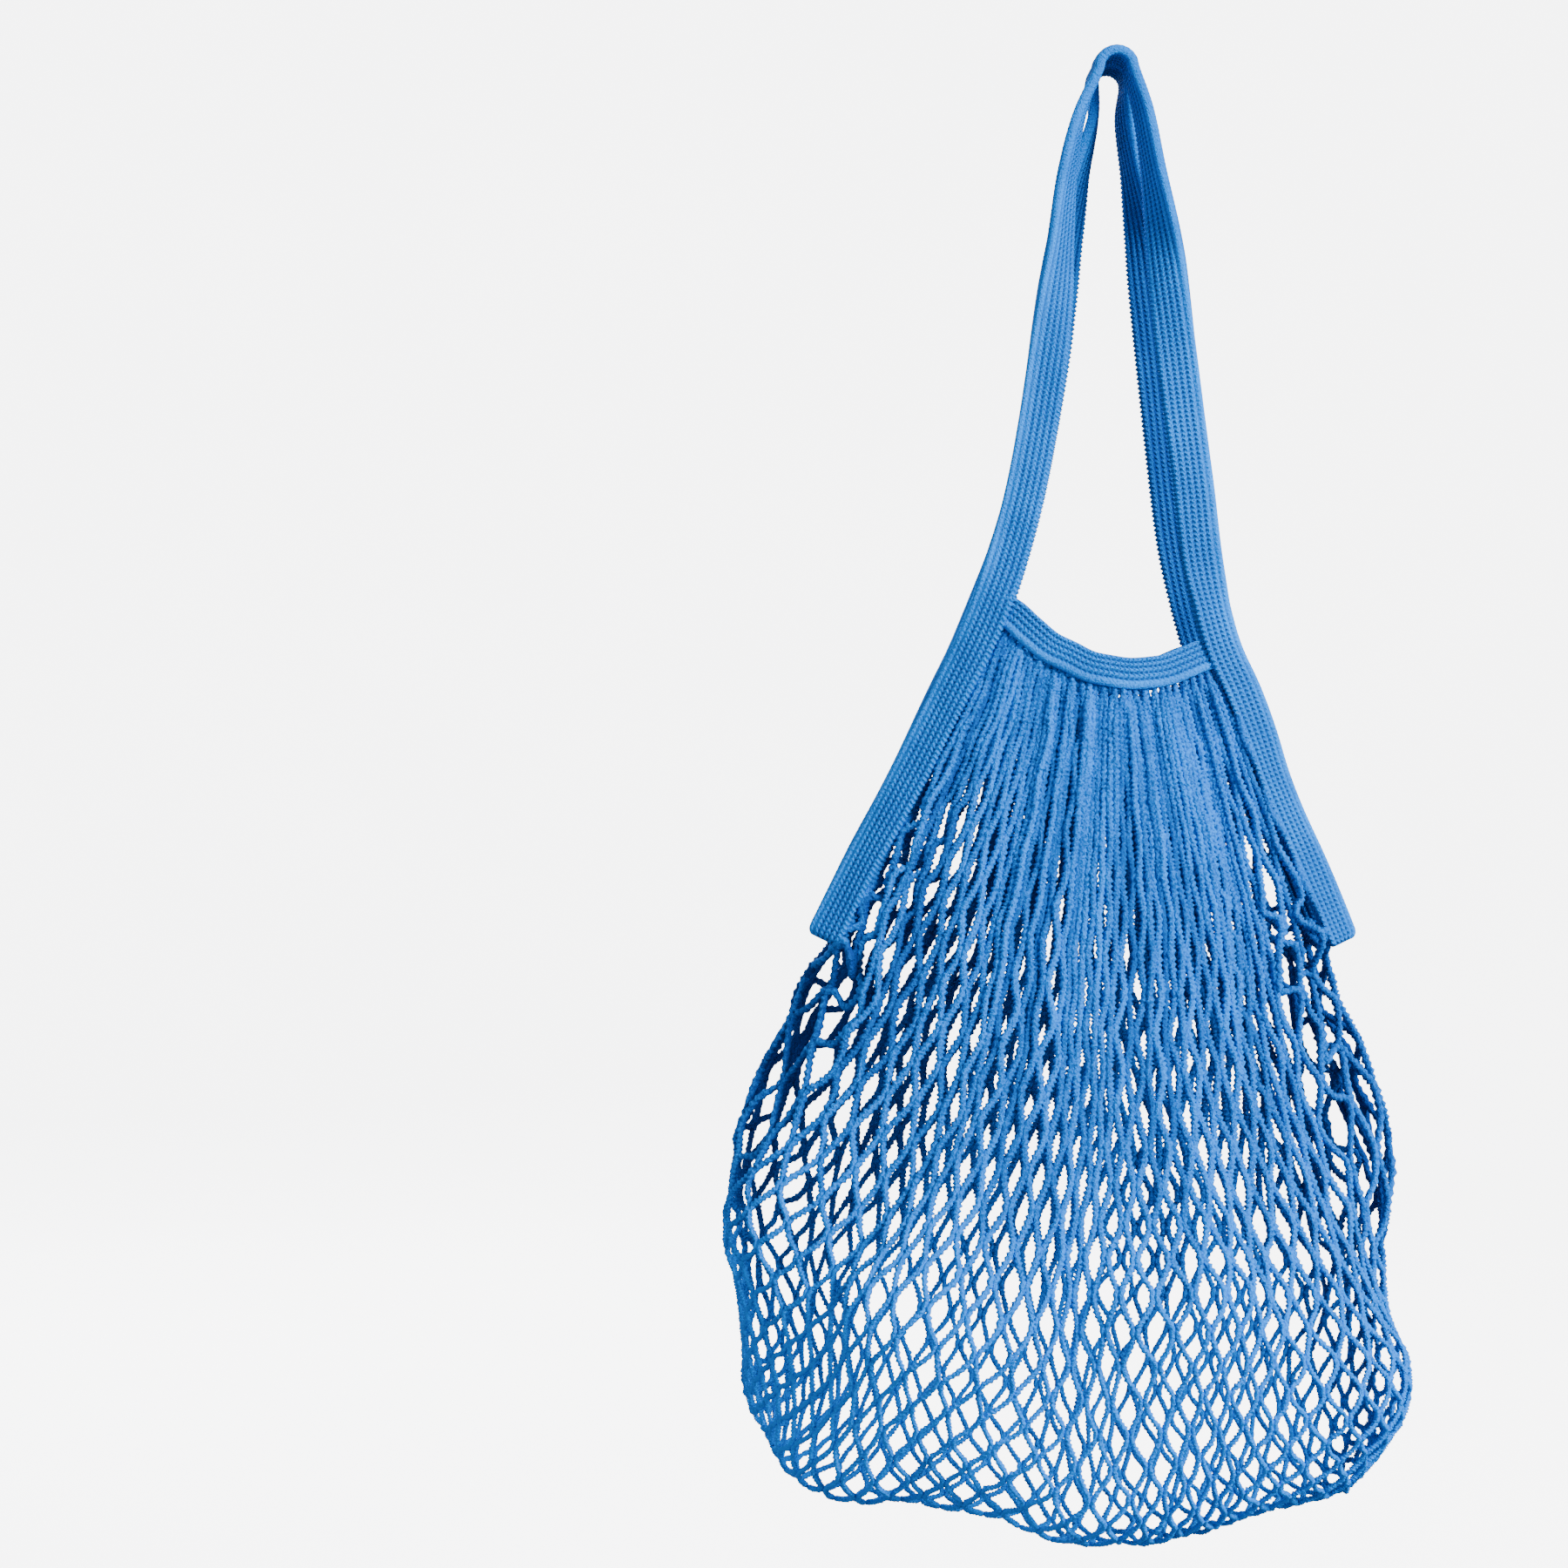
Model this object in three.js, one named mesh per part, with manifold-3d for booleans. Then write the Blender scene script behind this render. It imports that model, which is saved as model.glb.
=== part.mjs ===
// A knitted string shopping bag with long handles, hanging full from one point.
// Millimetres, +Z up. The origin is where the handles rest on what holds them,
// +X is to the right and -Y is to the front. The back of the bag hangs flat, as on a wall.
import * as THREE from 'three';
import { mergeVertices } from 'three/addons/utils/BufferGeometryUtils.js';
import Module from 'manifold-3d';

const wasm = await Module();
wasm.setup();

// Driving dimensions
const HANDLE_DROP = 252;        // hang point down to the corners of the rim
const SACK_HEIGHT = 416;        // corners of the rim down to the lowest point
const SACK_WIDTH = 306;         // widest, side to side
const SACK_DEPTH = 176;         // widest, front to back
const RIM_SPREAD = 98;          // between the two legs of a handle where they meet the rim
const SLIT_HEIGHT = 144;        // corners of the rim down to the ends of the side slits
const SLIT_GAPE = 42;           // front tape to back tape across a slit, at the rim
const TAPE_WIDTH = 18;          // knitted tape, folded in half along its length
const TAPE_THICKNESS = 4.6;
const RIM_WIDTH = 14.5;
const RIM_THICKNESS = 4.2;
const NET_WALL = 2.6;           // one knitted strand
const MESHES_AROUND = 12;
const MESH_ROWS = 11;
const PEG_RADIUS = 5.6;         // what the handles hang over
const HANDLE_PITCH = 20;        // front handle to back handle along the peg
const GATHER_DEPTH = 2.2;       // folds of the net under the rim
const GATHERS = 9;
const BULGE_HEIGHT = 10;        // how far the contents push the net out
const SEAM_GAP = 0.3;           // clearance between pieces that touch

// Fineness of the faceted solids
const RING_POINTS = 40;
const KEEL_ROWS = 4;
const LEG_STEPS = 13;
const ARCH_STEPS = 6;
const BINDING_STEPS = 12;
const RIM_STEPS = 18;

// Sections of the sack. down: share of the height. left, right: share of the width, measured
// from the hang line. front, back: share of the depth, measured the same way.
const SECTIONS = [
  { down: 0.000, left: -0.221, right: 0.161, front: -0.24, back: 0.135 },
  { down: 0.045, left: -0.245, right: 0.176, front: -0.25, back: 0.140 },
  { down: 0.120, left: -0.292, right: 0.217, front: -0.28, back: 0.155 },
  { down: 0.220, left: -0.355, right: 0.257, front: -0.33, back: 0.175 },
  { down: 0.310, left: -0.417, right: 0.311, front: -0.38, back: 0.195 },
  { down: 0.360, left: -0.457, right: 0.343, front: -0.42, back: 0.205 },
  { down: 0.400, left: -0.443, right: 0.337, front: -0.45, back: 0.210 },
  { down: 0.450, left: -0.454, right: 0.332, front: -0.49, back: 0.215 },
  { down: 0.520, left: -0.492, right: 0.357, front: -0.56, back: 0.222 },
  { down: 0.590, left: -0.543, right: 0.389, front: -0.63, back: 0.228 },
  { down: 0.660, left: -0.565, right: 0.399, front: -0.68, back: 0.232 },
  { down: 0.740, left: -0.588, right: 0.406, front: -0.71, back: 0.235 },
  { down: 0.820, left: -0.563, right: 0.411, front: -0.72, back: 0.235 },
  { down: 0.880, left: -0.542, right: 0.412, front: -0.71, back: 0.235 },
  { down: 0.940, left: -0.527, right: 0.402, front: -0.70, back: 0.230 },
  { down: 0.980, left: -0.515, right: 0.375, front: -0.69, back: 0.225 },
  { down: 1.000, left: -0.492, right: 0.356, front: -0.69, back: 0.225 },
];

// Lower edge of the sack, where the front net turns into the back net. side: share of the
// half width. deep: share of the height.
const BOTTOM_EDGE = [
  { side: -1.00, deep: 0.907 },
  { side: -0.78, deep: 0.942 },
  { side: -0.57, deep: 0.940 },
  { side: -0.41, deep: 0.945 },
  { side: -0.25, deep: 0.972 },
  { side: -0.09, deep: 0.992 },
  { side: 0.07, deep: 1.000 },
  { side: 0.20, deep: 0.992 },
  { side: 0.38, deep: 0.965 },
  { side: 0.54, deep: 0.934 },
  { side: 0.71, deep: 0.909 },
  { side: 0.84, deep: 0.905 },
  { side: 1.00, deep: 0.894 },
];

// What the contents push out of the front. across: share of the width from the hang line.
// down: share of the height. reach: share of the width.
const BULGES = [
  { across: -0.415, down: 0.66, reach: 0.12, lift: 0.6 },
  { across: -0.280, down: 0.72, reach: 0.14, lift: 1.0 },
  { across: 0.030, down: 0.70, reach: 0.14, lift: 1.0 },
  { across: -0.380, down: 0.87, reach: 0.12, lift: 0.7 },
  { across: -0.070, down: 0.89, reach: 0.14, lift: 0.8 },
  { across: 0.240, down: 0.82, reach: 0.12, lift: 0.7 },
];

// Height of the rim's middle line. across: share of the spread. sag: share of the spread.
const RIM_LINE = [
  { across: -0.56, sag: 0.000 },
  { across: -0.51, sag: 0.020 },
  { across: -0.34, sag: 0.173 },
  { across: -0.14, sag: 0.276 },
  { across: 0.05, sag: 0.304 },
  { across: 0.20, sag: 0.280 },
  { across: 0.40, sag: 0.200 },
];

// One leg of each handle, from the peg to the rim. down: share of the drop. out: share of the
// rim's spread. front: share of the way from the peg to the rim, in depth. turn: how far the
// tape has turned its face to the front, from 0 on the peg to 1 at the rim.
const FRONT_LEFT_LEG = [
  { down: 0.10, out: -0.161, front: 0.05, turn: 0.10 },
  { down: 0.21, out: -0.221, front: 0.13, turn: 0.16 },
  { down: 0.34, out: -0.252, front: 0.24, turn: 0.72 },
  { down: 0.42, out: -0.279, front: 0.32, turn: 0.92 },
  { down: 0.58, out: -0.335, front: 0.48, turn: 1.00 },
  { down: 0.78, out: -0.429, front: 0.72, turn: 1.00 },
  { down: 0.91, out: -0.519, front: 0.88, turn: 1.00 },
];
const FRONT_RIGHT_LEG = [
  { down: 0.10, out: 0.131, front: 0.05, turn: 0.10 },
  { down: 0.21, out: 0.174, front: 0.13, turn: 0.18 },
  { down: 0.34, out: 0.223, front: 0.24, turn: 0.72 },
  { down: 0.42, out: 0.243, front: 0.32, turn: 0.92 },
  { down: 0.58, out: 0.285, front: 0.48, turn: 1.00 },
  { down: 0.78, out: 0.341, front: 0.72, turn: 1.00 },
  { down: 0.91, out: 0.373, front: 0.88, turn: 1.00 },
];
const BACK_LEFT_LEG = [
  { down: 0.08, out: -0.061, front: 0.05, turn: 0.00 },
  { down: 0.19, out: -0.116, front: 0.13, turn: 0.05 },
  { down: 0.31, out: -0.188, front: 0.24, turn: 0.60 },
  { down: 0.42, out: -0.237, front: 0.32, turn: 0.90 },
  { down: 0.55, out: -0.287, front: 0.48, turn: 1.00 },
  { down: 0.76, out: -0.388, front: 0.72, turn: 1.00 },
  { down: 0.89, out: -0.485, front: 0.88, turn: 1.00 },
];
const BACK_RIGHT_LEG = [
  { down: 0.08, out: 0.067, front: 0.05, turn: 0.00 },
  { down: 0.19, out: 0.110, front: 0.13, turn: 0.05 },
  { down: 0.31, out: 0.167, front: 0.24, turn: 0.60 },
  { down: 0.42, out: 0.196, front: 0.32, turn: 0.90 },
  { down: 0.55, out: 0.232, front: 0.48, turn: 1.00 },
  { down: 0.76, out: 0.294, front: 0.72, turn: 1.00 },
  { down: 0.89, out: 0.343, front: 0.88, turn: 1.00 },
];

// Straight line through the rows of a table
function readTable(rows, keyName, key, valueName) {
  let k = 1;
  while (k < rows.length - 1 && key > rows[k][keyName]) k += 1;
  const [low, high] = [rows[k - 1], rows[k]];
  const share = THREE.MathUtils.clamp((key - low[keyName]) / (high[keyName] - low[keyName]), 0, 1);
  return THREE.MathUtils.lerp(low[valueName], high[valueName], share);
}

const SIDE_DEEP = (BOTTOM_EDGE[0].deep + BOTTOM_EDGE[BOTTOM_EDGE.length - 1].deep) / 2;
const SLIT_SHARE = SLIT_HEIGHT / (SACK_HEIGHT * SIDE_DEEP);
const FOLD_DEPTH = -0.26 * SACK_DEPTH;      // where front and back meet under the sack
const ROUND_START = 0.80;                   // share of the height where the bottom turns in
const KEEL_START = 0.955;                   // share of the height where the net's gaps end
const TOP_STRAND = 0.19;                    // half a strand, as a share of the lattice's step
const LOW_STRAND = 0.10;
const LAST_RING = 0.9985;                   // share of the height where the lowest ring lies
const SIDE_MIDDLE = -0.05 * SACK_DEPTH;     // middle of the slits at the rim, in depth

// One section of the sack: its sides, its depths and how pointed its sides are
function section(down, inset = 0) {
  const read = (name, size) => readTable(SECTIONS, 'down', down, name) * size;
  const turnIn = Math.max(0, (down - ROUND_START) / (1 - ROUND_START));
  const round = Math.sqrt(Math.max(0, 1 - turnIn * turnIn));
  const slit = Math.max(0, 1 - down / SLIT_SHARE);
  const below = THREE.MathUtils.smoothstep(down, SLIT_SHARE * 0.8, 0.62);
  return {
    left: read('left', SACK_WIDTH),
    right: read('right', SACK_WIDTH),
    front: FOLD_DEPTH + (read('front', SACK_DEPTH) + inset - FOLD_DEPTH) * round,
    back: FOLD_DEPTH + (read('back', SACK_DEPTH) - inset - FOLD_DEPTH) * round,
    middle: THREE.MathUtils.lerp(SIDE_MIDDLE, FOLD_DEPTH, Math.min(1, down * 1.2)),
    round,
    gape: SLIT_GAPE * slit,
    power: THREE.MathUtils.lerp(1.5, 2.3, below),
  };
}

// How far the contents push the front out at a place on it
function bulge(x, down) {
  let push = 0;
  for (const { across, down: level, reach, lift } of BULGES) {
    const dx = (x - across * SACK_WIDTH) / (reach * SACK_WIDTH);
    const dz = (down - level) * SACK_HEIGHT / (reach * SACK_WIDTH);
    push += lift * BULGE_HEIGHT * Math.exp(-dx * dx - dz * dz);
  }
  return push;
}

// A place on the sack. side: -1 left to 1 right. face: -1 front, 1 back. down: 0 to 1.
function sackPoint(side, face, down, inset = 0, gathered = 1) {
  const cut = section(down, inset);
  const centre = (cut.left + cut.right) / 2;
  const halfWidth = (cut.right - cut.left) / 2 - inset;
  const reach = Math.pow(Math.max(0, 1 - Math.pow(Math.abs(side), cut.power)), 1 / cut.power);
  const edge = cut.middle + face * cut.gape / 2;
  const far = face < 0 ? cut.front : cut.back;
  const x = centre + side * halfWidth;
  const gather = gathered * GATHER_DEPTH * Math.cos(side * GATHERS * Math.PI) * Math.max(0, 1 - down / 0.6);
  const push = face < 0 ? bulge(x, down) * cut.round : 0;
  const bottom = readTable(BOTTOM_EDGE, 'side', side, 'deep') * SACK_HEIGHT - inset;
  return new THREE.Vector3(
    x,
    edge + (far - edge + face * (gather + push)) * reach,
    -HANDLE_DROP - down * bottom,
  );
}

// Closed mesh from rings of points with the same even count. Each end is closed by strips from
// the first half of its ring to the second half, so a bent end ring stays as it is.
function loft(rings) {
  const count = rings[0].length;
  const points = rings.flat();
  const faces = [];
  for (let r = 0; r + 1 < rings.length; r += 1) {
    for (let k = 0; k < count; k += 1) {
      const [a, b] = [r * count + k, r * count + (k + 1) % count];
      faces.push(a, b, b + count, a, b + count, a + count);
    }
  }
  const last = (rings.length - 1) * count;
  for (let k = 0; k + 1 < count / 2; k += 1) {
    const [a, b, c, d] = [k, k + 1, count - 2 - k, count - 1 - k];
    faces.push(a, c, b, a, d, c);
    faces.push(last + a, last + b, last + c, last + a, last + c, last + d);
  }
  const geometry = new THREE.BufferGeometry();
  geometry.setAttribute('position', new THREE.Float32BufferAttribute(points.flatMap((p) => p.toArray()), 3));
  geometry.setIndex(faces);
  return geometry;
}

// Closed mesh to solid, whichever way its faces were wound
function solidFrom(geometry) {
  for (const name of ['normal', 'uv']) geometry.deleteAttribute(name);
  const merged = mergeVertices(geometry, 1e-4);
  const vertProperties = new Float32Array(merged.attributes.position.array);
  const triVerts = new Uint32Array(merged.index.array);
  let volume = 0;
  const corner = (n) => new THREE.Vector3().fromArray(vertProperties, triVerts[n] * 3);
  for (let n = 0; n < triVerts.length; n += 3) volume += corner(n).dot(corner(n + 1).cross(corner(n + 2)));
  if (volume < 0) triVerts.reverse();
  return new wasm.Manifold(new wasm.Mesh({ numProp: 3, vertProperties, triVerts }));
}

// The largest body of a solid, as a mesh: what a cut leaves beyond a seam is scrap
function meshFrom(solid) {
  const bodies = solid.decompose();
  const largest = bodies.reduce((best, body) => (body.volume() > best.volume() ? body : best));
  const { vertProperties, triVerts } = largest.getMesh();
  const geometry = new THREE.BufferGeometry();
  geometry.setAttribute('position', new THREE.Float32BufferAttribute(vertProperties, 3));
  geometry.setIndex(Array.from(triVerts));
  geometry.computeVertexNormals();
  return geometry;
}

// Band of rounded section along a route of stations, each with a place and a width direction
function band(stations, width, thickness) {
  const [w, t] = [width / 2, thickness / 2];
  const soft = t * 0.6;
  const outline = [[w - soft, t], [w, t - soft], [w, soft - t], [w - soft, -t],
    [soft - w, -t], [-w, soft - t], [-w, t - soft], [soft - w, t]];
  const rings = stations.map(({ place, spread }, k) => {
    const before = stations[Math.max(0, k - 1)].place;
    const after = stations[Math.min(stations.length - 1, k + 1)].place;
    const run = after.clone().sub(before).normalize();
    const across = spread.clone().addScaledVector(run, -spread.dot(run)).normalize();
    const out = run.clone().cross(across);
    return outline.map(([a, b]) => place.clone().addScaledVector(across, a).addScaledVector(out, b));
  });
  return solidFrom(loft(rings));
}

// Side of the sack where the middle of a binding runs, and the direction of its width
function bindingStation(hand, face, down) {
  const { left, right } = section(down);
  const halfWidth = (right - left) / 2;
  const turnIn = THREE.MathUtils.smoothstep(down, SLIT_SHARE * 0.75, SLIT_SHARE);
  const fromEdge = TAPE_WIDTH * THREE.MathUtils.lerp(0.5, 0.38, turnIn);
  const side = hand * (1 - fromEdge / halfWidth);
  const place = sackPoint(side, face, down, 0, 0);
  const inner = sackPoint(side - hand * 0.04, face, down, 0, 0);
  return { place, spread: inner.sub(place).multiplyScalar(-hand) };
}

// Stations of one handle leg, from its table
function legStations(rows, face, hand) {
  const corner = bindingStation(hand, face, 0).place;
  const peg = face * HANDLE_PITCH / 2;
  const knots = rows.map(({ down, out, front, turn }) => ({
    place: new THREE.Vector3(
      out * RIM_SPREAD, THREE.MathUtils.lerp(peg, corner.y, front), -down * HANDLE_DROP),
    turn,
  }));
  const archSide = PEG_RADIUS + TAPE_THICKNESS / 2;
  knots.unshift({ place: new THREE.Vector3(hand * archSide, peg, -PEG_RADIUS), turn: 0 });
  knots.push({ place: corner, turn: 1 });
  const curve = new THREE.CatmullRomCurve3(knots.map((knot) => knot.place), false, 'centripetal');
  const stations = [];
  for (let k = 0; k <= LEG_STEPS; k += 1) {
    const at = k / LEG_STEPS * (knots.length - 1);
    const low = Math.min(Math.floor(at), knots.length - 2);
    const turn = THREE.MathUtils.lerp(knots[low].turn, knots[low + 1].turn, at - low);
    const angle = Math.PI / 2 * (1 + hand * turn);
    stations.push({
      place: curve.getPoint(k / LEG_STEPS),
      spread: new THREE.Vector3(Math.cos(angle), Math.sin(angle), 0),
    });
  }
  return stations;
}

// Whole tape of one face: up one slit, over the peg as a handle, and down the other slit
function tapeStations(face, leftLeg, rightLeg) {
  const peg = face * HANDLE_PITCH / 2;
  const radius = PEG_RADIUS + TAPE_THICKNESS / 2;
  const arch = [];
  for (let k = 1; k < ARCH_STEPS; k += 1) {
    const angle = Math.PI * (1 - k / ARCH_STEPS);
    arch.push({
      place: new THREE.Vector3(radius * Math.cos(angle), peg, radius * Math.sin(angle) - PEG_RADIUS),
      spread: new THREE.Vector3(0, 1, 0),
    });
  }
  const binding = (hand) => {
    const stations = [];
    for (let k = 1; k <= BINDING_STEPS; k += 1) {
      const { place, spread } = bindingStation(hand, face, SLIT_SHARE * k / BINDING_STEPS);
      if (spread.x * -hand < 0) spread.negate();
      stations.push({ place, spread });
    }
    return stations;
  };
  return [
    ...binding(-1).reverse(),
    ...legStations(leftLeg, face, -1).reverse(),
    ...arch,
    ...legStations(rightLeg, face, 1),
    ...binding(1),
  ];
}

// Height of the rim's middle line over a place across the sack
const rimHeight = (x) => -HANDLE_DROP - RIM_SPREAD * readTable(RIM_LINE, 'across', x / RIM_SPREAD, 'sag');

// Rim of one face, from one tape to the other
function rimStations(face) {
  const stations = [];
  const [first, last] = [-1, 1].map((hand) => bindingStation(hand, face, 0).place.x);
  for (let k = 0; k <= RIM_STEPS; k += 1) {
    const x = THREE.MathUtils.lerp(first, last, k / RIM_STEPS);
    const z = rimHeight(x);
    const down = (-HANDLE_DROP - z) / SACK_HEIGHT;
    const { left, right } = section(down);
    const side = (2 * x - left - right) / (right - left);
    const [here, lower] = [down, down + 0.03].map((level) => sackPoint(side, face, level, 0, 0));
    stations.push({ place: new THREE.Vector3(x, here.y, z), spread: lower.sub(here) });
  }
  return stations;
}

// Place on the sack of a point of the net's lattice, whose two families of strands run along
// a and b. One step down the sack raises both, one step to the side raises one, lowers the other.
function latticePoint(a, b, inset) {
  const angle = Math.PI * (a - b) / MESHES_AROUND;
  const down = (a + b) / MESH_ROWS * KEEL_START;
  return sackPoint(Math.cos(angle), Math.sin(angle) > 0 ? 1 : -1, Math.min(down, 0.99), inset);
}

// Half the width of a strand, as a share of the lattice's step
function strandShare(a, b) {
  const down = (a + b) / MESH_ROWS * KEEL_START;
  return THREE.MathUtils.lerp(TOP_STRAND, LOW_STRAND, THREE.MathUtils.smoothstep(down, 0.25, 0.7));
}

// Edges of a cell of the lattice: the step to the cell beyond it, and the edge's two ends
const CELL_EDGES = [
  [0, -1, 0, 0, 1, 0],
  [1, 0, 1, 0, 1, 1],
  [0, 1, 1, 1, 0, 1],
  [-1, 0, 0, 1, 0, 0],
];

// Net of the sack. Each step of the lattice is three strips: a strand and the two halves of a
// gap. Where both strips are halves of a gap there is nothing.
function latticeSolid() {
  const lap = 3 * MESHES_AROUND;
  const key = (p, q) => {
    const turns = Math.floor((p - q) / (2 * lap));
    return `${p - turns * lap},${q + turns * lap}`;
  };
  const present = new Set();
  const cells = [];
  for (let p = -lap; p < 2 * lap + 6 * MESH_ROWS; p += 1) {
    for (let q = -2 * lap; q < lap + 6 * MESH_ROWS; q += 1) {
      const onStrand = p % 3 === 0 || q % 3 === 0;
      const inSack = p + q >= 0 && p + q <= 3 * MESH_ROWS;
      if (!onStrand || !inSack || p - q < 0 || p - q >= 2 * lap) continue;
      cells.push([p, q]);
      present.add(key(p, q));
    }
  }
  const line = (p, half) => {
    const step = Math.floor(p / 3);
    return [step - half, step + half, step + 0.5][p - 3 * step];
  };
  const corners = [];
  const faces = [];
  const vertex = (p, q, inset) => {
    const half = strandShare(p / 3, q / 3);
    corners.push(latticePoint(line(p, half), line(q, half), inset));
    return corners.length - 1;
  };
  const quad = (points) => {
    const [a, b, c, d] = points.map(([p, q, inset]) => vertex(p, q, inset));
    faces.push(a, b, c, a, c, d);
  };
  for (const [p, q] of cells) {
    quad([[p, q, 0], [p + 1, q, 0], [p + 1, q + 1, 0], [p, q + 1, 0]]);
    quad([[p, q, NET_WALL], [p, q + 1, NET_WALL], [p + 1, q + 1, NET_WALL], [p + 1, q, NET_WALL]]);
    for (const [dp, dq, fromP, fromQ, toP, toQ] of CELL_EDGES) {
      if (present.has(key(p + dp, q + dq))) continue;
      const [from, to] = [[p + fromP, q + fromQ], [p + toP, q + toQ]];
      quad([[...from, NET_WALL], [...to, NET_WALL], [...to, 0], [...from, 0]]);
    }
  }
  const geometry = new THREE.BufferGeometry();
  geometry.setAttribute('position', new THREE.Float32BufferAttribute(corners.flatMap((c) => c.toArray()), 3));
  geometry.setIndex(faces);
  return solidFrom(geometry);
}

// Solid of the sack's shape from one level down to its lower edge
function lowerSolid(start, inset) {
  const rings = [];
  for (let r = 0; r <= KEEL_ROWS; r += 1) {
    const down = THREE.MathUtils.lerp(start, LAST_RING, Math.sin(r / KEEL_ROWS * Math.PI / 2));
    const ring = [];
    for (let k = 0; k < RING_POINTS; k += 1) {
      const angle = 2 * Math.PI * (k + 0.5) / RING_POINTS;
      ring.push(sackPoint(Math.cos(angle), Math.sin(angle) > 0 ? 1 : -1, down, inset));
    }
    rings.push(ring);
  }
  return solidFrom(loft(rings));
}

// Trough of close strands along the lower edge, which the net runs into
function keelSolid() {
  const proud = 0.4;
  const hollow = lowerSolid(KEEL_START - 0.05, NET_WALL + proud);
  return lowerSolid(KEEL_START - 0.02, -proud).subtract(hollow);
}

// Right through the sack from front to back, an outline in X and Z
function cutThrough(points) {
  const shape = new THREE.Shape(points.map(([x, z]) => new THREE.Vector2(x, z)));
  const geometry = new THREE.ExtrudeGeometry(shape, { depth: 4 * SACK_DEPTH, bevelEnabled: false });
  geometry.rotateX(Math.PI / 2);
  geometry.translate(0, 2 * SACK_DEPTH, 0);
  return solidFrom(geometry);
}

// Everything above the rims' middle line
function mouthCut() {
  const line = [];
  for (let k = 0; k <= RIM_STEPS; k += 1) {
    const x = RIM_SPREAD * (k / RIM_STEPS * 2 - 1);
    line.push([x, rimHeight(x)]);
  }
  return cutThrough([...line, [SACK_WIDTH, 0], [-SACK_WIDTH, 0]]);
}

// Everything outside the middle of the bindings on one side
function slitCut(hand) {
  const line = [];
  for (let k = 0; k <= BINDING_STEPS; k += 1) {
    const { place } = bindingStation(hand, -1, SLIT_SHARE * k / BINDING_STEPS);
    line.push([place.x, place.z]);
  }
  const [top, bottom] = [line[0][1], line[line.length - 1][1]];
  return cutThrough([...line, [hand * SACK_WIDTH, bottom], [hand * SACK_WIDTH, top]]);
}

const BLUE = { color: 0x3f9ad8, roughness: 0.9, metalness: 0 };
const bag = new THREE.Group();

function addPiece(name, solid) {
  const piece = new THREE.Mesh(meshFrom(solid), new THREE.MeshStandardMaterial(BLUE));
  piece.name = name;
  bag.add(piece);
}

const frontRoute = tapeStations(-1, FRONT_LEFT_LEG, FRONT_RIGHT_LEG);
const backRoute = tapeStations(1, BACK_LEFT_LEG, BACK_RIGHT_LEG);
const clearTapes = [frontRoute, backRoute].map(
  (route) => band(route, TAPE_WIDTH + 2 * SEAM_GAP, TAPE_THICKNESS + 2 * SEAM_GAP));
addPiece('front_tape', band(frontRoute, TAPE_WIDTH, TAPE_THICKNESS));
addPiece('back_tape', band(backRoute, TAPE_WIDTH, TAPE_THICKNESS).subtract(clearTapes[0]));

const clearRims = [];
for (const [name, face] of [['front_rim', -1], ['back_rim', 1]]) {
  const route = rimStations(face);
  clearRims.push(band(route, RIM_WIDTH + 2 * SEAM_GAP, RIM_THICKNESS + 2 * SEAM_GAP));
  const rim = band(route, RIM_WIDTH, RIM_THICKNESS);
  addPiece(name, rim.subtract(clearTapes[0]).subtract(clearTapes[1]));
}

const cuts = [mouthCut(), slitCut(-1), slitCut(1), ...clearTapes, ...clearRims];
const net = latticeSolid().add(keelSolid());
addPiece('net_sack', cuts.reduce((rest, cut) => rest.subtract(cut), net));

export default bag;
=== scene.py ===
import math

import bmesh
import bpy
import numpy as np
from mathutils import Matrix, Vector


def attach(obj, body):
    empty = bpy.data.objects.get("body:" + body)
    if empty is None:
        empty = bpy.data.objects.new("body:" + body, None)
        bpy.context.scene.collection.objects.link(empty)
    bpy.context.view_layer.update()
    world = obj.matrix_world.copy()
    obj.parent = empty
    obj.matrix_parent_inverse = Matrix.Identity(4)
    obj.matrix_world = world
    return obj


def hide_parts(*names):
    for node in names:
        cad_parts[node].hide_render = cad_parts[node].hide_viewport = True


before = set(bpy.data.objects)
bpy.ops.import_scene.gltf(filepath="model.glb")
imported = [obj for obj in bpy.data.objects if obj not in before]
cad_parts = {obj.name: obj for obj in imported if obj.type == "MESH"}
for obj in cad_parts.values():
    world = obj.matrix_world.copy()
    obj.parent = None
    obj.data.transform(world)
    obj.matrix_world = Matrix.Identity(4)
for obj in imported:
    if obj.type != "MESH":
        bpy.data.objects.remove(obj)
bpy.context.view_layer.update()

# Sizes of the bag
HANDLE_DROP = 0.252             # hang point down to the corners of the rim
SACK_HEIGHT = 0.416             # corners of the rim down to the lowest point
SACK_WIDTH = 0.306              # widest, side to side
SACK_DEPTH = 0.176              # widest, front to back
RIM_SPREAD = 0.098              # between the two legs of a handle where they meet the rim
SLIT_HEIGHT = 0.144             # corners of the rim down to the ends of the side slits
SLIT_GAPE = 0.042               # front tape to back tape across a slit, at the rim
TAPE_WIDTH = 0.018              # knitted tape, folded in half along its length
TAPE_THICKNESS = 0.0046
RIM_WIDTH = 0.0145
RIM_THICKNESS = 0.0042
RIM_TUCK = 0.0012               # how far a rim lies behind the tapes that cross its ends
BEND_RADIUS = 0.0056            # inside of the bend at the top of a handle
HANDLE_PITCH = 0.020            # front handle to back handle at the top

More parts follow.
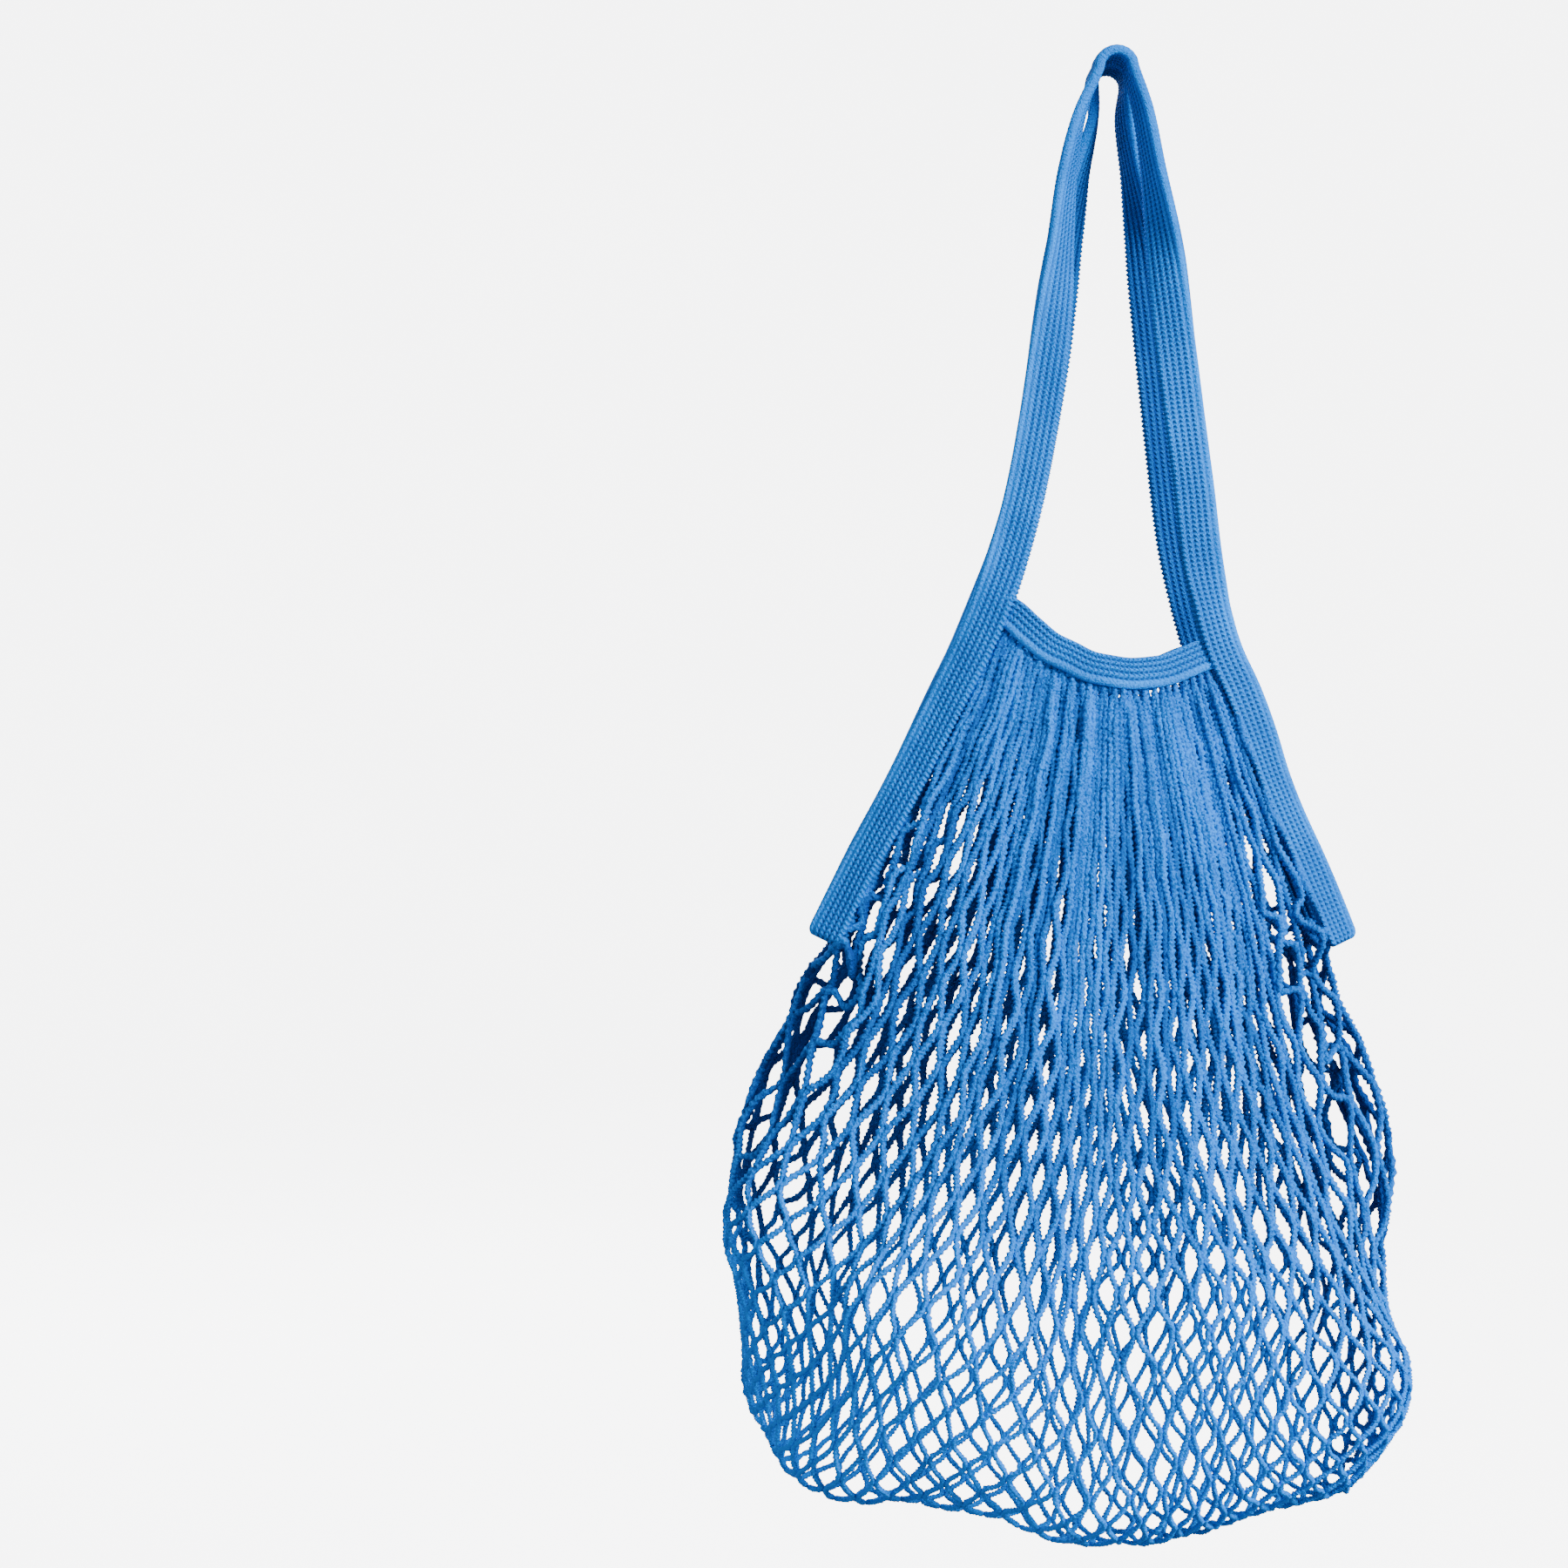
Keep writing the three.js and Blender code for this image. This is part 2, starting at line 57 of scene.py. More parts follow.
# The net: cords that run from the front rim down round the fold and up to the back rim, each
# joined to its neighbours in turn. A level is 0 at a rim and 1 at the fold.
COLUMNS = 28                    # joints across one face
HALF_ROWS = 26                  # rows of joints from a rim to the fold
CORDS = 2 * COLUMNS
ROWS = 2 * HALF_ROWS + 1
STRAND = 0.0160                 # length of cord between two joints
STRAND_SPREAD = 0.035           # how much knitted strands differ in length, as a share
SIDE_TIGHTNESS = 0.30           # how much shorter strands are at the sides, as a share
SIDE_LEVELS = (0.50, 0.80)      # where that begins and where it is full
CORNER_TIGHTNESS = 0.65         # and how much more at the lower corners
CORNER_LEVELS = (0.70, 1.00)
TIP_SLACK = 0.28                # how much longer they are just below the slits, at the sides
TIP_LEVELS = (0.30, 0.40), (0.46, 0.60)  # where that comes and where it goes
TIP_POWER = 6                   # the higher, the nearer to the sides that slack stays
FOLD_SLACK = 0.05               # how much strands differ from fold to fold in the upper part
FOLD_SLACK_END = (0.35, 0.60)   # where that goes
FOLD_CORDS = 3                  # cords to each of those folds
LOOSE_LOOPS = 0.36              # how much longer single strands are near the slits
LOOSE_LEVELS = (0.10, 0.30), (0.50, 0.62)

# How the net is sewn on
SEWN_DEPTH = 0.0032             # how far the net reaches into the bindings
EDGE_LOOP = 0.0014              # how far its edge stands off them between two stitches
SEWN_TAUT = 1.06                # how taut the net's edges are sewn to the bindings
GATHER_DEPTH = 0.0006           # half the depth of the gathers under the rims
GATHER_DRIFT = 0.010            # how far the gathers stray sideways, as a share of the rim
GATHER_GROUPS = 6               # groups of gathers along a rim
GATHERS_BEHIND = 0.0022         # how far they lie behind the rims' middle line
GATHERS_SEWN = 0.0008           # how far they reach into the rims
GATHERS_INSET = 0.25            # how far in from the tapes they start, in tape widths

# How the net comes to rest
START_SPAN = (0.07, 0.995)      # down the sack, where its first and last rows start
START_NARROWING = 0.12          # how much narrower it starts near the mouth, as a share
START_LEVELS = (0.20, 0.45)     # where that goes
START_JITTER = 0.0006           # how far joints start out of place
NET_STEPS = 300
NET_SWEEPS = 14
CONTACT_SWEEPS = 3              # sweeps from one look for contact to the next
NET_DAMPING = 0.93
NET_FALL = 0.0003               # how far the net falls in a step
NET_GIVE = 0.35                 # how much of a strand's slack is pushed out at once
NET_FRICTION = 0.5
NET_OPENNESS = 0.5              # how firmly the cords' bulk keeps a row's joints apart
GATHERED_CELL = 0.0034          # least distance of two joints in a row, at the rims
OPEN_CELL = 0.0085              # and at the ends of the slits
SEWN_LEVEL = 0.33               # down to where the net is sewn along the slits
OPEN_LEVEL = 0.52               # down to where the cords' bulk holds it open
BUNCHING = 0.28                 # how unevenly joints spread along a row, as a share
BACK_BUNCHES = 1.7              # columns by which the back's bunches miss the front's
BACK_LEAN = 0.13                # how much wider the back net spreads on the left than on the right
BACK_LIMIT = 0.040              # the bag hangs flat at the back
BUNCH_LEVELS = (0.24, 0.38), (0.62, 0.84)  # where the net hangs slack below the slits
BACK_GATHER = 0.85              # how strongly the back bunches up at the sides there
FRONT_GATHER = 0.15             # how strongly the front draws together in the middle
CRUMPLE = 0.0034                # how far joints stray in the back's bunches
CRUMPLED_SIDE = 0.99            # share of the half width outside which they don't

# The cords
CORD_RADIUS = 0.00120           # where they are stretched
SLACK_PLUMPNESS = 0.48          # how much thicker they are where they hang slack, as a share
SLACK_END = (0.42, 0.74)        # levels where slack cords become stretched ones
PLUMP_START = (-0.01, 0.035)    # levels where they swell, below a rim
UNEVENNESS = 0.10               # how much their thickness varies, as a share
JOINT_LENGTH = 0.0042           # how far two cords run side by side where they are joined
JOINT_HUG = 0.92                # how close they lie there, as a share of their thickness
CORD_SIDES = 6
JOINT_STEPS = 2
STRAND_STEPS = 12
STITCH_SWELL = 0.24             # how far the stitches of a cord stand out, as a share of its radius
FOLD_RELIEF = 0.0011            # half the depth of the folds in the upper part of the net
FOLD_LEVELS = (0.0, 0.05), (0.32, 0.58)
FOLD_SHADE = 0.32               # how much darker the cords look deep in a fold
BUNCH_SHADE = 1.6               # and where the back bunches up at the sides
TONE_ROWS = 4                   # rows from one change of a cord's tone to the next

# The tapes
RIBS = 6                        # knitted columns across a folded tape
COURSE = 0.0022                 # length of one stitch along a tape
RIB_RELIEF = 0.00055            # how far a rib stands out of its grooves
RIB_POINTS = 3                  # points across each rib
PICOT = 0.0011                  # how far the loops stand out of a tape's open edge
STITCH_DEPTH = 0.22             # how far a rib dips between two stitches, as a share
STITCH_SHIFT = 0.9              # how far stitches of one rib miss those of the next, in radians
RIM_NARROWING = 0.78            # the lower, the wider a rim's border and the finer its ribs
FACE_REACH = 0.965              # how far out a tape's faces reach, as a share
OPEN_EDGE = 0.80                # where the gap in its open edge ends, as a share of the half width
TAPE_SQUARENESS = 4             # the higher, the flatter a tape's faces
BORDER = (0.6, 1.1)             # ribs in from a rim's lower edge where its smooth border ends
SMOOTH_FOLD = (2.2, 0.8)        # ribs in from a tape's fold where it turns smooth
END_ROUNDING = 0.9              # how far its ends are rounded, in thicknesses
END_WIDTH = 0.72                # how wide it still is at its very ends, as a share
TAPE_WAVE = 0.00035             # how far a tape's face waves
WAVE_LENGTH = 0.013             # length of tape to each radian of that wave
COURSE_STEPS = 4                # stations to each stitch
SLIT_STATIONS = 9               # places that a tape's line runs through along a slit
BEND_STATIONS = 7               # over the top of a handle
RIM_STATIONS = 13               # and along a rim
FINE_STEPS = 24                 # steps between two of them, for their distances

# Colours of the cotton, its painted shade, and how it takes the light
BRIGHT_CORD = (0.003, 0.240, 0.920, 1.0)
PLAIN_CORD = (0.003, 0.126, 0.520, 1.0)
BRIGHT_TAPE = (0.003, 0.278, 1.000, 1.0)
PLAIN_TAPE = (0.003, 0.150, 0.600, 1.0)
# The dark blue that all painted shade on the cotton is blended towards
PAINTED_SHADE_BLUE = (0.003, 0.042, 0.240, 1.0)
INNER_PAINTED_SHADE = 0.66           # how dark the cotton is painted on its sides that face the inside of the bag, as painted shade
COTTON_ROUGHNESS = 0.88
COTTON_GLOSS = 0.05
LINT_BLUE = (0.03, 0.38, 1.0, 1.0)
LINT_SHEEN = 0.03
LINT_ROUGHNESS = 0.45
CORD_LINT = 900.0               # how fine the lint on the cords is
CORD_PATCHES = 60.0             # and the patches of lighter and darker dye
CORD_BUMP = 0.0007
TAPE_LINT = 1300.0
TAPE_PATCHES = 50.0
TAPE_BUMP = 0.0006
STITCH_SLANT = 7.0              # how far stitches lean across a rib, in radians

# Stage and light
PAPER_GREY = (0.84, 0.845, 0.86, 1.0)
PAPER_WHITE = (0.88, 0.88, 0.89, 1.0)
PAPER_GRAIN = 3.0
PAPER_GLOW = 6.5
PAPER_ROUGHNESS = 0.9
FLOOR_LEVEL = -0.95
FLOOR_RADIUS = 2.6
TURN_RADIUS = 1.4               # of the round turn from the floor to the sides
TURN_STEPS = 8
STAGE_TOP = 3.2
STAGE_SIDES = 64
LAMP_TARGET = (-0.03, -0.03, -0.38)
LAMPS = (                       # name, place, size, power and colour
    ("key_lamp", (1.6, -1.6, 0.8), 0.9, 165.0, (1.0, 0.985, 0.96)),
    ("fill_lamp", (-1.6, -1.5, 0.1), 1.4, 12.0, (0.95, 0.98, 1.0)),
    ("back_lamp", (-0.9, 2.2, 0.7), 1.6, 70.0, (0.97, 0.985, 1.0)),
)
ROOM_COLOUR = (0.95, 0.97, 1.0, 1.0)
ROOM_LIGHT = 0.42


def table(columns, *rows):
    """Named columns of a table, each as an array."""
    return dict(zip(columns.split(), np.array(rows).T))


# Sections of the sack, as shares of its height, width and depth, measured from the hang line
SECTIONS = table(
    "down left right front back",
    (0.000, -0.221, 0.161, -0.24, 0.135),
    (0.045, -0.245, 0.176, -0.25, 0.140),
    (0.120, -0.292, 0.217, -0.28, 0.155),
    (0.220, -0.355, 0.257, -0.33, 0.175),
    (0.310, -0.417, 0.306, -0.38, 0.195),
    (0.360, -0.457, 0.343, -0.42, 0.205),
    (0.400, -0.443, 0.337, -0.45, 0.210),
    (0.450, -0.454, 0.332, -0.49, 0.215),
    (0.520, -0.492, 0.357, -0.56, 0.222),
    (0.590, -0.543, 0.389, -0.63, 0.228),
    (0.660, -0.565, 0.399, -0.68, 0.232),
    (0.740, -0.588, 0.406, -0.71, 0.235),
    (0.820, -0.563, 0.411, -0.72, 0.235),
    (0.880, -0.542, 0.412, -0.71, 0.235),
    (0.940, -0.527, 0.402, -0.70, 0.230),
    (0.980, -0.515, 0.375, -0.69, 0.225),
    (1.000, -0.492, 0.356, -0.69, 0.225),
)

# Lower edge of the sack. side: share of the half width. deep: share of the height.
BOTTOM_EDGE = table(
    "side deep",
    (-1.00, 0.907), (-0.78, 0.942), (-0.57, 0.940), (-0.41, 0.945), (-0.25, 0.972),
    (-0.09, 0.992), (0.07, 1.000), (0.20, 0.992), (0.38, 0.965), (0.54, 0.934),
    (0.71, 0.909), (0.84, 0.905), (1.00, 0.894),
)

# Height of the rim's middle line, as shares of the rim's spread
RIM_LINE = table(
    "across sag",
    (-0.56, 0.000), (-0.51, 0.020), (-0.34, 0.173), (-0.14, 0.276),
    (0.05, 0.304), (0.20, 0.280), (0.40, 0.200),
)

# One leg of each handle, from the top to the rim. down: share of the drop. out: share of the
# rim's spread. front: share of the way from the top to the rim, in depth. turn: how far the
# tape has turned its face to the front, from 0 at the top to 1 at the rim.
FRONT_LEFT_LEG = table(
    "down out front turn",
    (0.10, -0.161, 0.05, 0.12), (0.21, -0.221, 0.13, 0.24), (0.34, -0.258, 0.24, 0.46),
    (0.42, -0.281, 0.32, 0.68), (0.58, -0.335, 0.48, 0.95), (0.78, -0.429, 0.72, 1.00),
    (0.91, -0.519, 0.88, 1.00),
)
FRONT_RIGHT_LEG = table(
    "down out front turn",
    (0.10, 0.133, 0.05, 0.12), (0.21, 0.178, 0.13, 0.26), (0.34, 0.224, 0.24, 0.50),
    (0.42, 0.244, 0.32, 0.72), (0.58, 0.285, 0.48, 0.96), (0.78, 0.341, 0.72, 1.00),
    (0.91, 0.373, 0.88, 1.00),
)
BACK_LEFT_LEG = table(
    "down out front turn",
    (0.08, -0.072, 0.05, 0.10), (0.19, -0.136, 0.13, 0.26), (0.31, -0.196, 0.24, 0.52),
    (0.42, -0.240, 0.32, 0.80), (0.55, -0.287, 0.48, 0.98), (0.76, -0.388, 0.72, 1.00),
    (0.89, -0.485, 0.88, 1.00),
)
BACK_RIGHT_LEG = table(
    "down out front turn",
    (0.08, 0.073, 0.05, 0.10), (0.19, 0.116, 0.13, 0.26), (0.31, 0.167, 0.24, 0.54),
    (0.42, 0.196, 0.32, 0.82), (0.55, 0.232, 0.48, 0.98), (0.76, 0.294, 0.72, 1.00),
    (0.89, 0.343, 0.88, 1.00),
)

# Round forms within, that hold the net out and are never shown. across, deep, down: shares of the
# width, depth and height of the sack, from the hang line. wide, thick, tall: half sizes, as
# shares of the width.
FORMS_WITHIN = table(
    "across deep down wide thick tall",
    (-0.438, -0.256, 0.656, 0.137, 0.124, 0.131),
    (-0.275, -0.483, 0.728, 0.163, 0.147, 0.137),
    (0.044, -0.483, 0.714, 0.157, 0.147, 0.131),
    (-0.376, -0.284, 0.863, 0.134, 0.147, 0.101),
    (-0.062, -0.341, 0.882, 0.167, 0.163, 0.124),
    (0.252, -0.284, 0.812, 0.147, 0.147, 0.131),
    (-0.294, 0.000, 0.740, 0.131, 0.131, 0.131),
    (0.000, 0.000, 0.740, 0.137, 0.137, 0.137),
    (0.196, -0.028, 0.740, 0.131, 0.131, 0.131),
    (-0.475, -0.114, 0.600, 0.088, 0.098, 0.150),
    (0.320, -0.114, 0.600, 0.078, 0.098, 0.160),
    (-0.405, -0.060, 0.450, 0.072, 0.080, 0.110),
)

# The photograph's view: straight along +Y, with the picture centred left of the bag
EYE = Vector((-0.1504, -1.150, -0.330))
VIEW_WIDTH = 0.720              # of the whole picture, at the hang line's depth

SIDE_DEEP = (BOTTOM_EDGE["deep"][0] + BOTTOM_EDGE["deep"][-1]) / 2
SLIT_SHARE = SLIT_HEIGHT / (SACK_HEIGHT * SIDE_DEEP)
STRAIGHT_TIP = 0.30                     # down the sack, where the bindings leave its curve
RIGHT_RIM_DROP = 0.045                  # down the sack, where the rims meet the right legs
RIGHT_TIP_DROP = 1.03                   # how much further down the right bindings end
TIPS_MEET = 0.7                         # share of a slit where its two bindings start to touch
FOLD_DEPTH = -0.26 * SACK_DEPTH         # where front and back meet under the sack
SIDE_MIDDLE = -0.05 * SACK_DEPTH        # middle of the slits at the rim, in depth
SIDE_SHIFT = 1.2                        # how fast the sides go from one to the other
ROUND_START = 0.80                      # share of the height where the bottom turns in
POINTED, SQUARE = 1.5, 2.3              # how full the sack's section is, high up and low down
POINTED_END = 0.8                       # share of the slits where it starts to fill out
SQUARE_START = 0.62                     # down the sack, where it is fullest
SIDE_STEP = 0.04                        # small steps across and down the sack, for its slopes
TIP_STEP = 0.08
RIM_STEP = 0.03
SACK_MIDDLE = np.array(
    (-0.09 * SACK_WIDTH, -0.20 * SACK_DEPTH, -HANDLE_DROP - 0.60 * SACK_HEIGHT))
SACK_HALVES = np.array((SACK_WIDTH, SACK_DEPTH, 1.6 * SACK_HEIGHT)) / 2
LEFT, RIGHT = -1, 1
FRONT, BACK = -1, 1
UPWARD = np.array((0.0, 0.0, 1.0))
DEPTHWARD = np.array((0.0, 1.0, 0.0))
TINY = 1e-9                     # keeps a division by no length at all finite
rng = np.random.default_rng(7)


def make_camera():
    """Camera at the photograph's place, for a square picture."""
    lens = bpy.data.cameras.new("camera")
    lens.sensor_width = 36.0
    lens.lens = lens.sensor_width * -EYE.y / VIEW_WIDTH
    camera = bpy.data.objects.new("camera", lens)
    camera.location = EYE
    camera.rotation_euler = (math.pi / 2, 0.0, 0.0)
    bpy.context.scene.collection.objects.link(camera)
    bpy.context.scene.camera = camera


def mix(low, high, share):
    return low + (high - low) * share


def smoothstep(value, low, high):
    share = np.clip((value - low) / (high - low), 0.0, 1.0)
    return share * share * (3 - 2 * share)


def between(value, start, end):
    """1 between a start and an end, and 0 outside them. Each is where it begins and is done."""
    return smoothstep(value, *start) * (1 - smoothstep(value, *end))


def unit(vectors):
    return vectors / np.maximum(np.linalg.norm(vectors, axis=-1, keepdims=True), TINY)


def dot(first, second):
    return (first * second).sum(axis=-1, keepdims=True)


def section(down):
    """One section of the sack: its sides, its depths and how pointed its sides are."""
    def read(name, size):
        return np.interp(down, SECTIONS["down"], SECTIONS[name]) * size
    turn_in = np.clip((down - ROUND_START) / (1 - ROUND_START), 0.0, 1.0)
    drawn_in = np.sqrt(1 - turn_in * turn_in)
    return {
        "left": read("left", SACK_WIDTH),
        "right": read("right", SACK_WIDTH),
        "front": mix(FOLD_DEPTH, read("front", SACK_DEPTH), drawn_in),
        "back": mix(FOLD_DEPTH, read("back", SACK_DEPTH), drawn_in),
        "middle": mix(SIDE_MIDDLE, FOLD_DEPTH, np.minimum(1.0, down * SIDE_SHIFT)),
        "gape": SLIT_GAPE * np.maximum(0.0, 1 - down / SLIT_SHARE),
        "power": mix(POINTED, SQUARE, smoothstep(down, SLIT_SHARE * POINTED_END, SQUARE_START)),
    }


def sack_point(side, face, down):
    """A place on the sack. side: -1 left to 1 right. face: -1 front, 1 back. down: 0 to 1."""
    cut = section(down)
    reach = np.maximum(0.0, 1 - np.abs(side) ** cut["power"]) ** (1 / cut["power"])
    edge = cut["middle"] + face * cut["gape"] / 2
    far = np.where(face < 0, cut["front"], cut["back"])
    x = mix(cut["left"], cut["right"], (side + 1) / 2)
    y = edge + (far - edge) * reach
    lowest = np.interp(side, BOTTOM_EDGE["side"], BOTTOM_EDGE["deep"])
    z = -HANDLE_DROP - down * lowest * SACK_HEIGHT
    return np.stack(np.broadcast_arrays(x, y, z), axis=-1)


def smooth_line(points, at):
    """Centripetal Catmull-Rom line through points, read at places given as indices."""
    first = 2 * points[..., :1, :] - points[..., 1:2, :]
    last = 2 * points[..., -1:, :] - points[..., -2:-1, :]
    chords = np.diff(np.concatenate((first, points, last), axis=-2), axis=-2)
    spans = np.sqrt(np.linalg.norm(chords, axis=-1, keepdims=True)) + TINY
    slopes = chords / spans
    before, after = spans[..., :-1, :], spans[..., 1:, :]
    tangents = (slopes[..., :-1, :] * after + slopes[..., 1:, :] * before) / (before + after)
    low = np.minimum(at.astype(int), points.shape[-2] - 2)
    share = (at - low)[:, None]
    span = spans[..., 1 + low, :]
    from_low = points[..., low, :] + span * tangents[..., low, :] * share * (1 - share)
    from_high = points[..., low + 1, :] - span * tangents[..., low + 1, :] * share * (1 - share)
    eased = share * share * (3 - 2 * share)
    straight = mix(points[..., low, :], points[..., low + 1, :], eased)
    bend_low = (from_low - points[..., low, :]) * (1 - share)
    bend_high = (from_high - points[..., low + 1, :]) * share
    return straight + bend_low + bend_high


def even_line(points, spreads, step):
    """A line through points in even steps, with a direction carried along it."""
    fine = np.linspace(0, len(points) - 1, (len(points) - 1) * FINE_STEPS + 1)
    line = smooth_line(points, fine)
    run = np.concatenate(([0.0], np.cumsum(np.linalg.norm(np.diff(line, axis=0), axis=1))))
    even = np.linspace(0, run[-1], int(round(run[-1] / step)) + 1)
    at = np.interp(even, run, fine)
    return smooth_line(points, at), unit(smooth_line(spreads, at)), even


def binding_station(hand, face, down):
    """Middle of a binding at a level of the slit, and the direction of its inner edge."""
    on_sack = np.minimum(down, STRAIGHT_TIP)
    cut = section(on_sack)
    from_edge = TAPE_WIDTH / (cut["right"] - cut["left"])
    side = hand * (1 - from_edge)
    place = sack_point(side, face, on_sack)
    inward = unit(sack_point(side - hand * SIDE_STEP, face, on_sack) - place)
    slope = sack_point(side, face, STRAIGHT_TIP) - sack_point(side, face, STRAIGHT_TIP - TIP_STEP)
    place = place + slope * np.asarray((down - on_sack) / TIP_STEP)[..., None]
    apart = TAPE_THICKNESS / 2 * smoothstep(down, SLIT_SHARE * TIPS_MEET, SLIT_SHARE)
    return place + face * np.multiply.outer(apart, DEPTHWARD), inward


def leg_stations(leg, face, hand):
    """Places and inner-edge directions of one handle leg, from the top to the rim."""
    top = face * HANDLE_PITCH / 2
    corner, _ = binding_station(hand, face, 0.0)
    places = np.stack((
        leg["out"] * RIM_SPREAD,
        mix(top, corner[1], leg["front"]),
        -leg["down"] * HANDLE_DROP), axis=-1)
    angle = math.pi / 2 * (1 + hand * leg["turn"])
    return places, np.stack((np.cos(angle), np.sin(angle), 0 * angle), axis=-1)


def tape_route(face, left_leg, right_leg):
    """Whole tape of one face: up one slit, over the top as a handle, down the other slit."""
    levels = SLIT_SHARE * np.linspace(0, 1, SLIT_STATIONS)
    left_binding = binding_station(LEFT, face, levels[::-1])
    right_binding = binding_station(RIGHT, face, levels * RIGHT_TIP_DROP)
    left = leg_stations(left_leg, face, LEFT)
    right = leg_stations(right_leg, face, RIGHT)
    angle = np.linspace(math.pi, 0, BEND_STATIONS)
    radius = BEND_RADIUS + TAPE_THICKNESS / 2
    bend = np.stack((
        radius * np.cos(angle),
        0 * angle + face * HANDLE_PITCH / 2,
        radius * np.sin(angle) - BEND_RADIUS), axis=-1)
    flat = np.tile(DEPTHWARD, (len(angle), 1))
    places = np.concatenate((left_binding[0], left[0][::-1], bend, right[0], right_binding[0]))
    spreads = np.concatenate((left_binding[1], left[1][::-1], flat, right[1], right_binding[1]))
    return even_line(places, spreads, COURSE / COURSE_STEPS)


def rim_point(x, face):
    """Middle of a rim at a place across the sack, and the direction of its lower edge."""
    sag = RIM_SPREAD * np.interp(x / RIM_SPREAD, RIM_LINE["across"], RIM_LINE["sag"])
    z = -HANDLE_DROP - sag
    down = (-HANDLE_DROP - z) / SACK_HEIGHT
    cut = section(down)
    side = (2 * x - cut["left"] - cut["right"]) / (cut["right"] - cut["left"])
    here = sack_point(side, face, down)
    lower = sack_point(side, face, down + RIM_STEP)
    place = np.stack((x, here[..., 1], z), axis=-1)
    return place, unit(lower - here)


def rim_ends(face):
    """Where a rim runs in under the two legs of its tape, across the sack."""
    levels = ((LEFT, 0.0), (RIGHT, RIGHT_RIM_DROP))
    return [binding_station(hand, face, level)[0][0] for hand, level in levels]


def rim_route(face):
    """Rim of one face, from one tape to the other."""
    x = np.linspace(*rim_ends(face), RIM_STATIONS)
    places, spreads = rim_point(x, face)
    return even_line(places - DEPTHWARD * face * RIM_TUCK, spreads, COURSE / COURSE_STEPS)


# The net at rest

def joints_of_cords():
    """Index of the joint that each cord runs through in each row, and each row's first index."""
    row = np.arange(ROWS)[:, None]
    cord = np.arange(CORDS)[None, :]
    in_row = COLUMNS + np.arange(ROWS) % 2
    first = np.concatenate(([0], np.cumsum(in_row)))
    within = np.where(row % 2 == 0, cord // 2, (cord + 1) // 2)
    return first[:-1, None] + within, first


def start_of_net(first):
    """Joints laid over the sack's own shape, and which of them are sewn fast."""
    places = np.zeros((first[-1], 3))
    sewn = np.zeros(first[-1], bool)
    for row in range(ROWS):
        face = FRONT if row <= HALF_ROWS else BACK
        level = min(row, ROWS - 1 - row) / HALF_ROWS
        odd = row % 2
        across = (np.arange(COLUMNS + odd) + 0.5 * (1 - odd)) / COLUMNS
        slot = slice(first[row], first[row + 1])
        narrowing = START_NARROWING * (1 - smoothstep(level, *START_LEVELS))
        side = -np.cos(across * math.pi) * (1 - narrowing)
        places[slot] = sack_point(side, face, mix(*START_SPAN, level))
        if row in (0, ROWS - 1):
            places[slot] = rim_joints(across, face)
            sewn[slot] = True
        for hand, index in ((LEFT, first[row]), (RIGHT, first[row + 1] - 1)):
            share = sewn_share(hand, level * HALF_ROWS)
            if 0 < level and share <= 1:
                middle, inward = binding_station(hand, face, SLIT_SHARE * share)
                reach = -SEWN_DEPTH if odd else EDGE_LOOP
                places[index] = middle + inward * (TAPE_WIDTH / 2 + reach)
                sewn[index] = True
    return places, sewn


def sewn_share(hand, row):
    """How far down a slit an edge joint is sewn, or more than 1 if it is below the slit."""
    top, tip = [binding_station(hand, FRONT, level)[0] for level in (0.0, SLIT_SHARE)]
    corner = rim_joints(np.array((0.0, 1.0)), FRONT)[0 if hand == LEFT else 1]
    start = (top[2] - corner[2]) / (top[2] - tip[2])
    share = start + row * STRAND * SEWN_TAUT / np.linalg.norm(tip - top)
    spare = STRAND / np.linalg.norm(tip - top)
    return min(share, 1.0) if share < 1 + spare else share


def rim_joints(across, face):
    """Joints sewn under a rim, in small gathers."""
    ends = np.array(rim_ends(face)) + np.array((1, -1)) * TAPE_WIDTH * GATHERS_INSET
    drift = GATHER_DRIFT * np.sin(across * 2 * math.pi * GATHER_GROUPS) * np.sin(across * math.pi)
    middle, lower = rim_point(mix(ends[0], ends[1], across + drift), face)
    zigzag = 0.5 * np.cos(np.arange(len(across)) * math.pi)
    gather = GATHER_DEPTH * (zigzag + np.sin(across * 33 + face) + 0.6 * np.sin(across * 57))
    behind = np.multiply.outer(gather - face * GATHERS_BEHIND, DEPTHWARD)
    return middle + lower * (RIM_WIDTH / 2 - GATHERS_SEWN) + behind


def strand_lengths():
    """Length of each strand: knitted tighter below the slits, towards the sides."""
    row = np.arange(ROWS - 1)
    level = np.minimum(row, row[::-1])[:, None] / HALF_ROWS
    aside = np.abs(2 * np.arange(CORDS)[None, :] / (CORDS - 1) - 1)
    tight = SIDE_TIGHTNESS * aside ** 2 * smoothstep(level, *SIDE_LEVELS)
    tight = tight + CORNER_TIGHTNESS * aside ** 4 * smoothstep(level, *CORNER_LEVELS)
    tight = tight - TIP_SLACK * aside ** TIP_POWER * between(level, *TIP_LEVELS)
    marks = np.arange(0, CORDS + FOLD_CORDS, FOLD_CORDS)
    fold = np.interp(np.arange(CORDS), marks, rng.standard_normal(len(marks)))
    uneven = FOLD_SLACK * fold * (1 - smoothstep(level, *FOLD_SLACK_END))
    spread = STRAND_SPREAD * rng.standard_normal((ROWS - 1, CORDS))
    loose = between(level, *LOOSE_LEVELS)
    loops = LOOSE_LOOPS * aside ** 3 * loose * np.abs(rng.standard_normal((ROWS - 1, CORDS)))
    return STRAND * (1 - tight) * (1 + uneven + spread + loops)


def bunches(column):
    """Waves of uneven length along a row, from -1 to 1."""
    return np.sin(column * 1.9 + 2.5 * np.sin(column * 0.7))


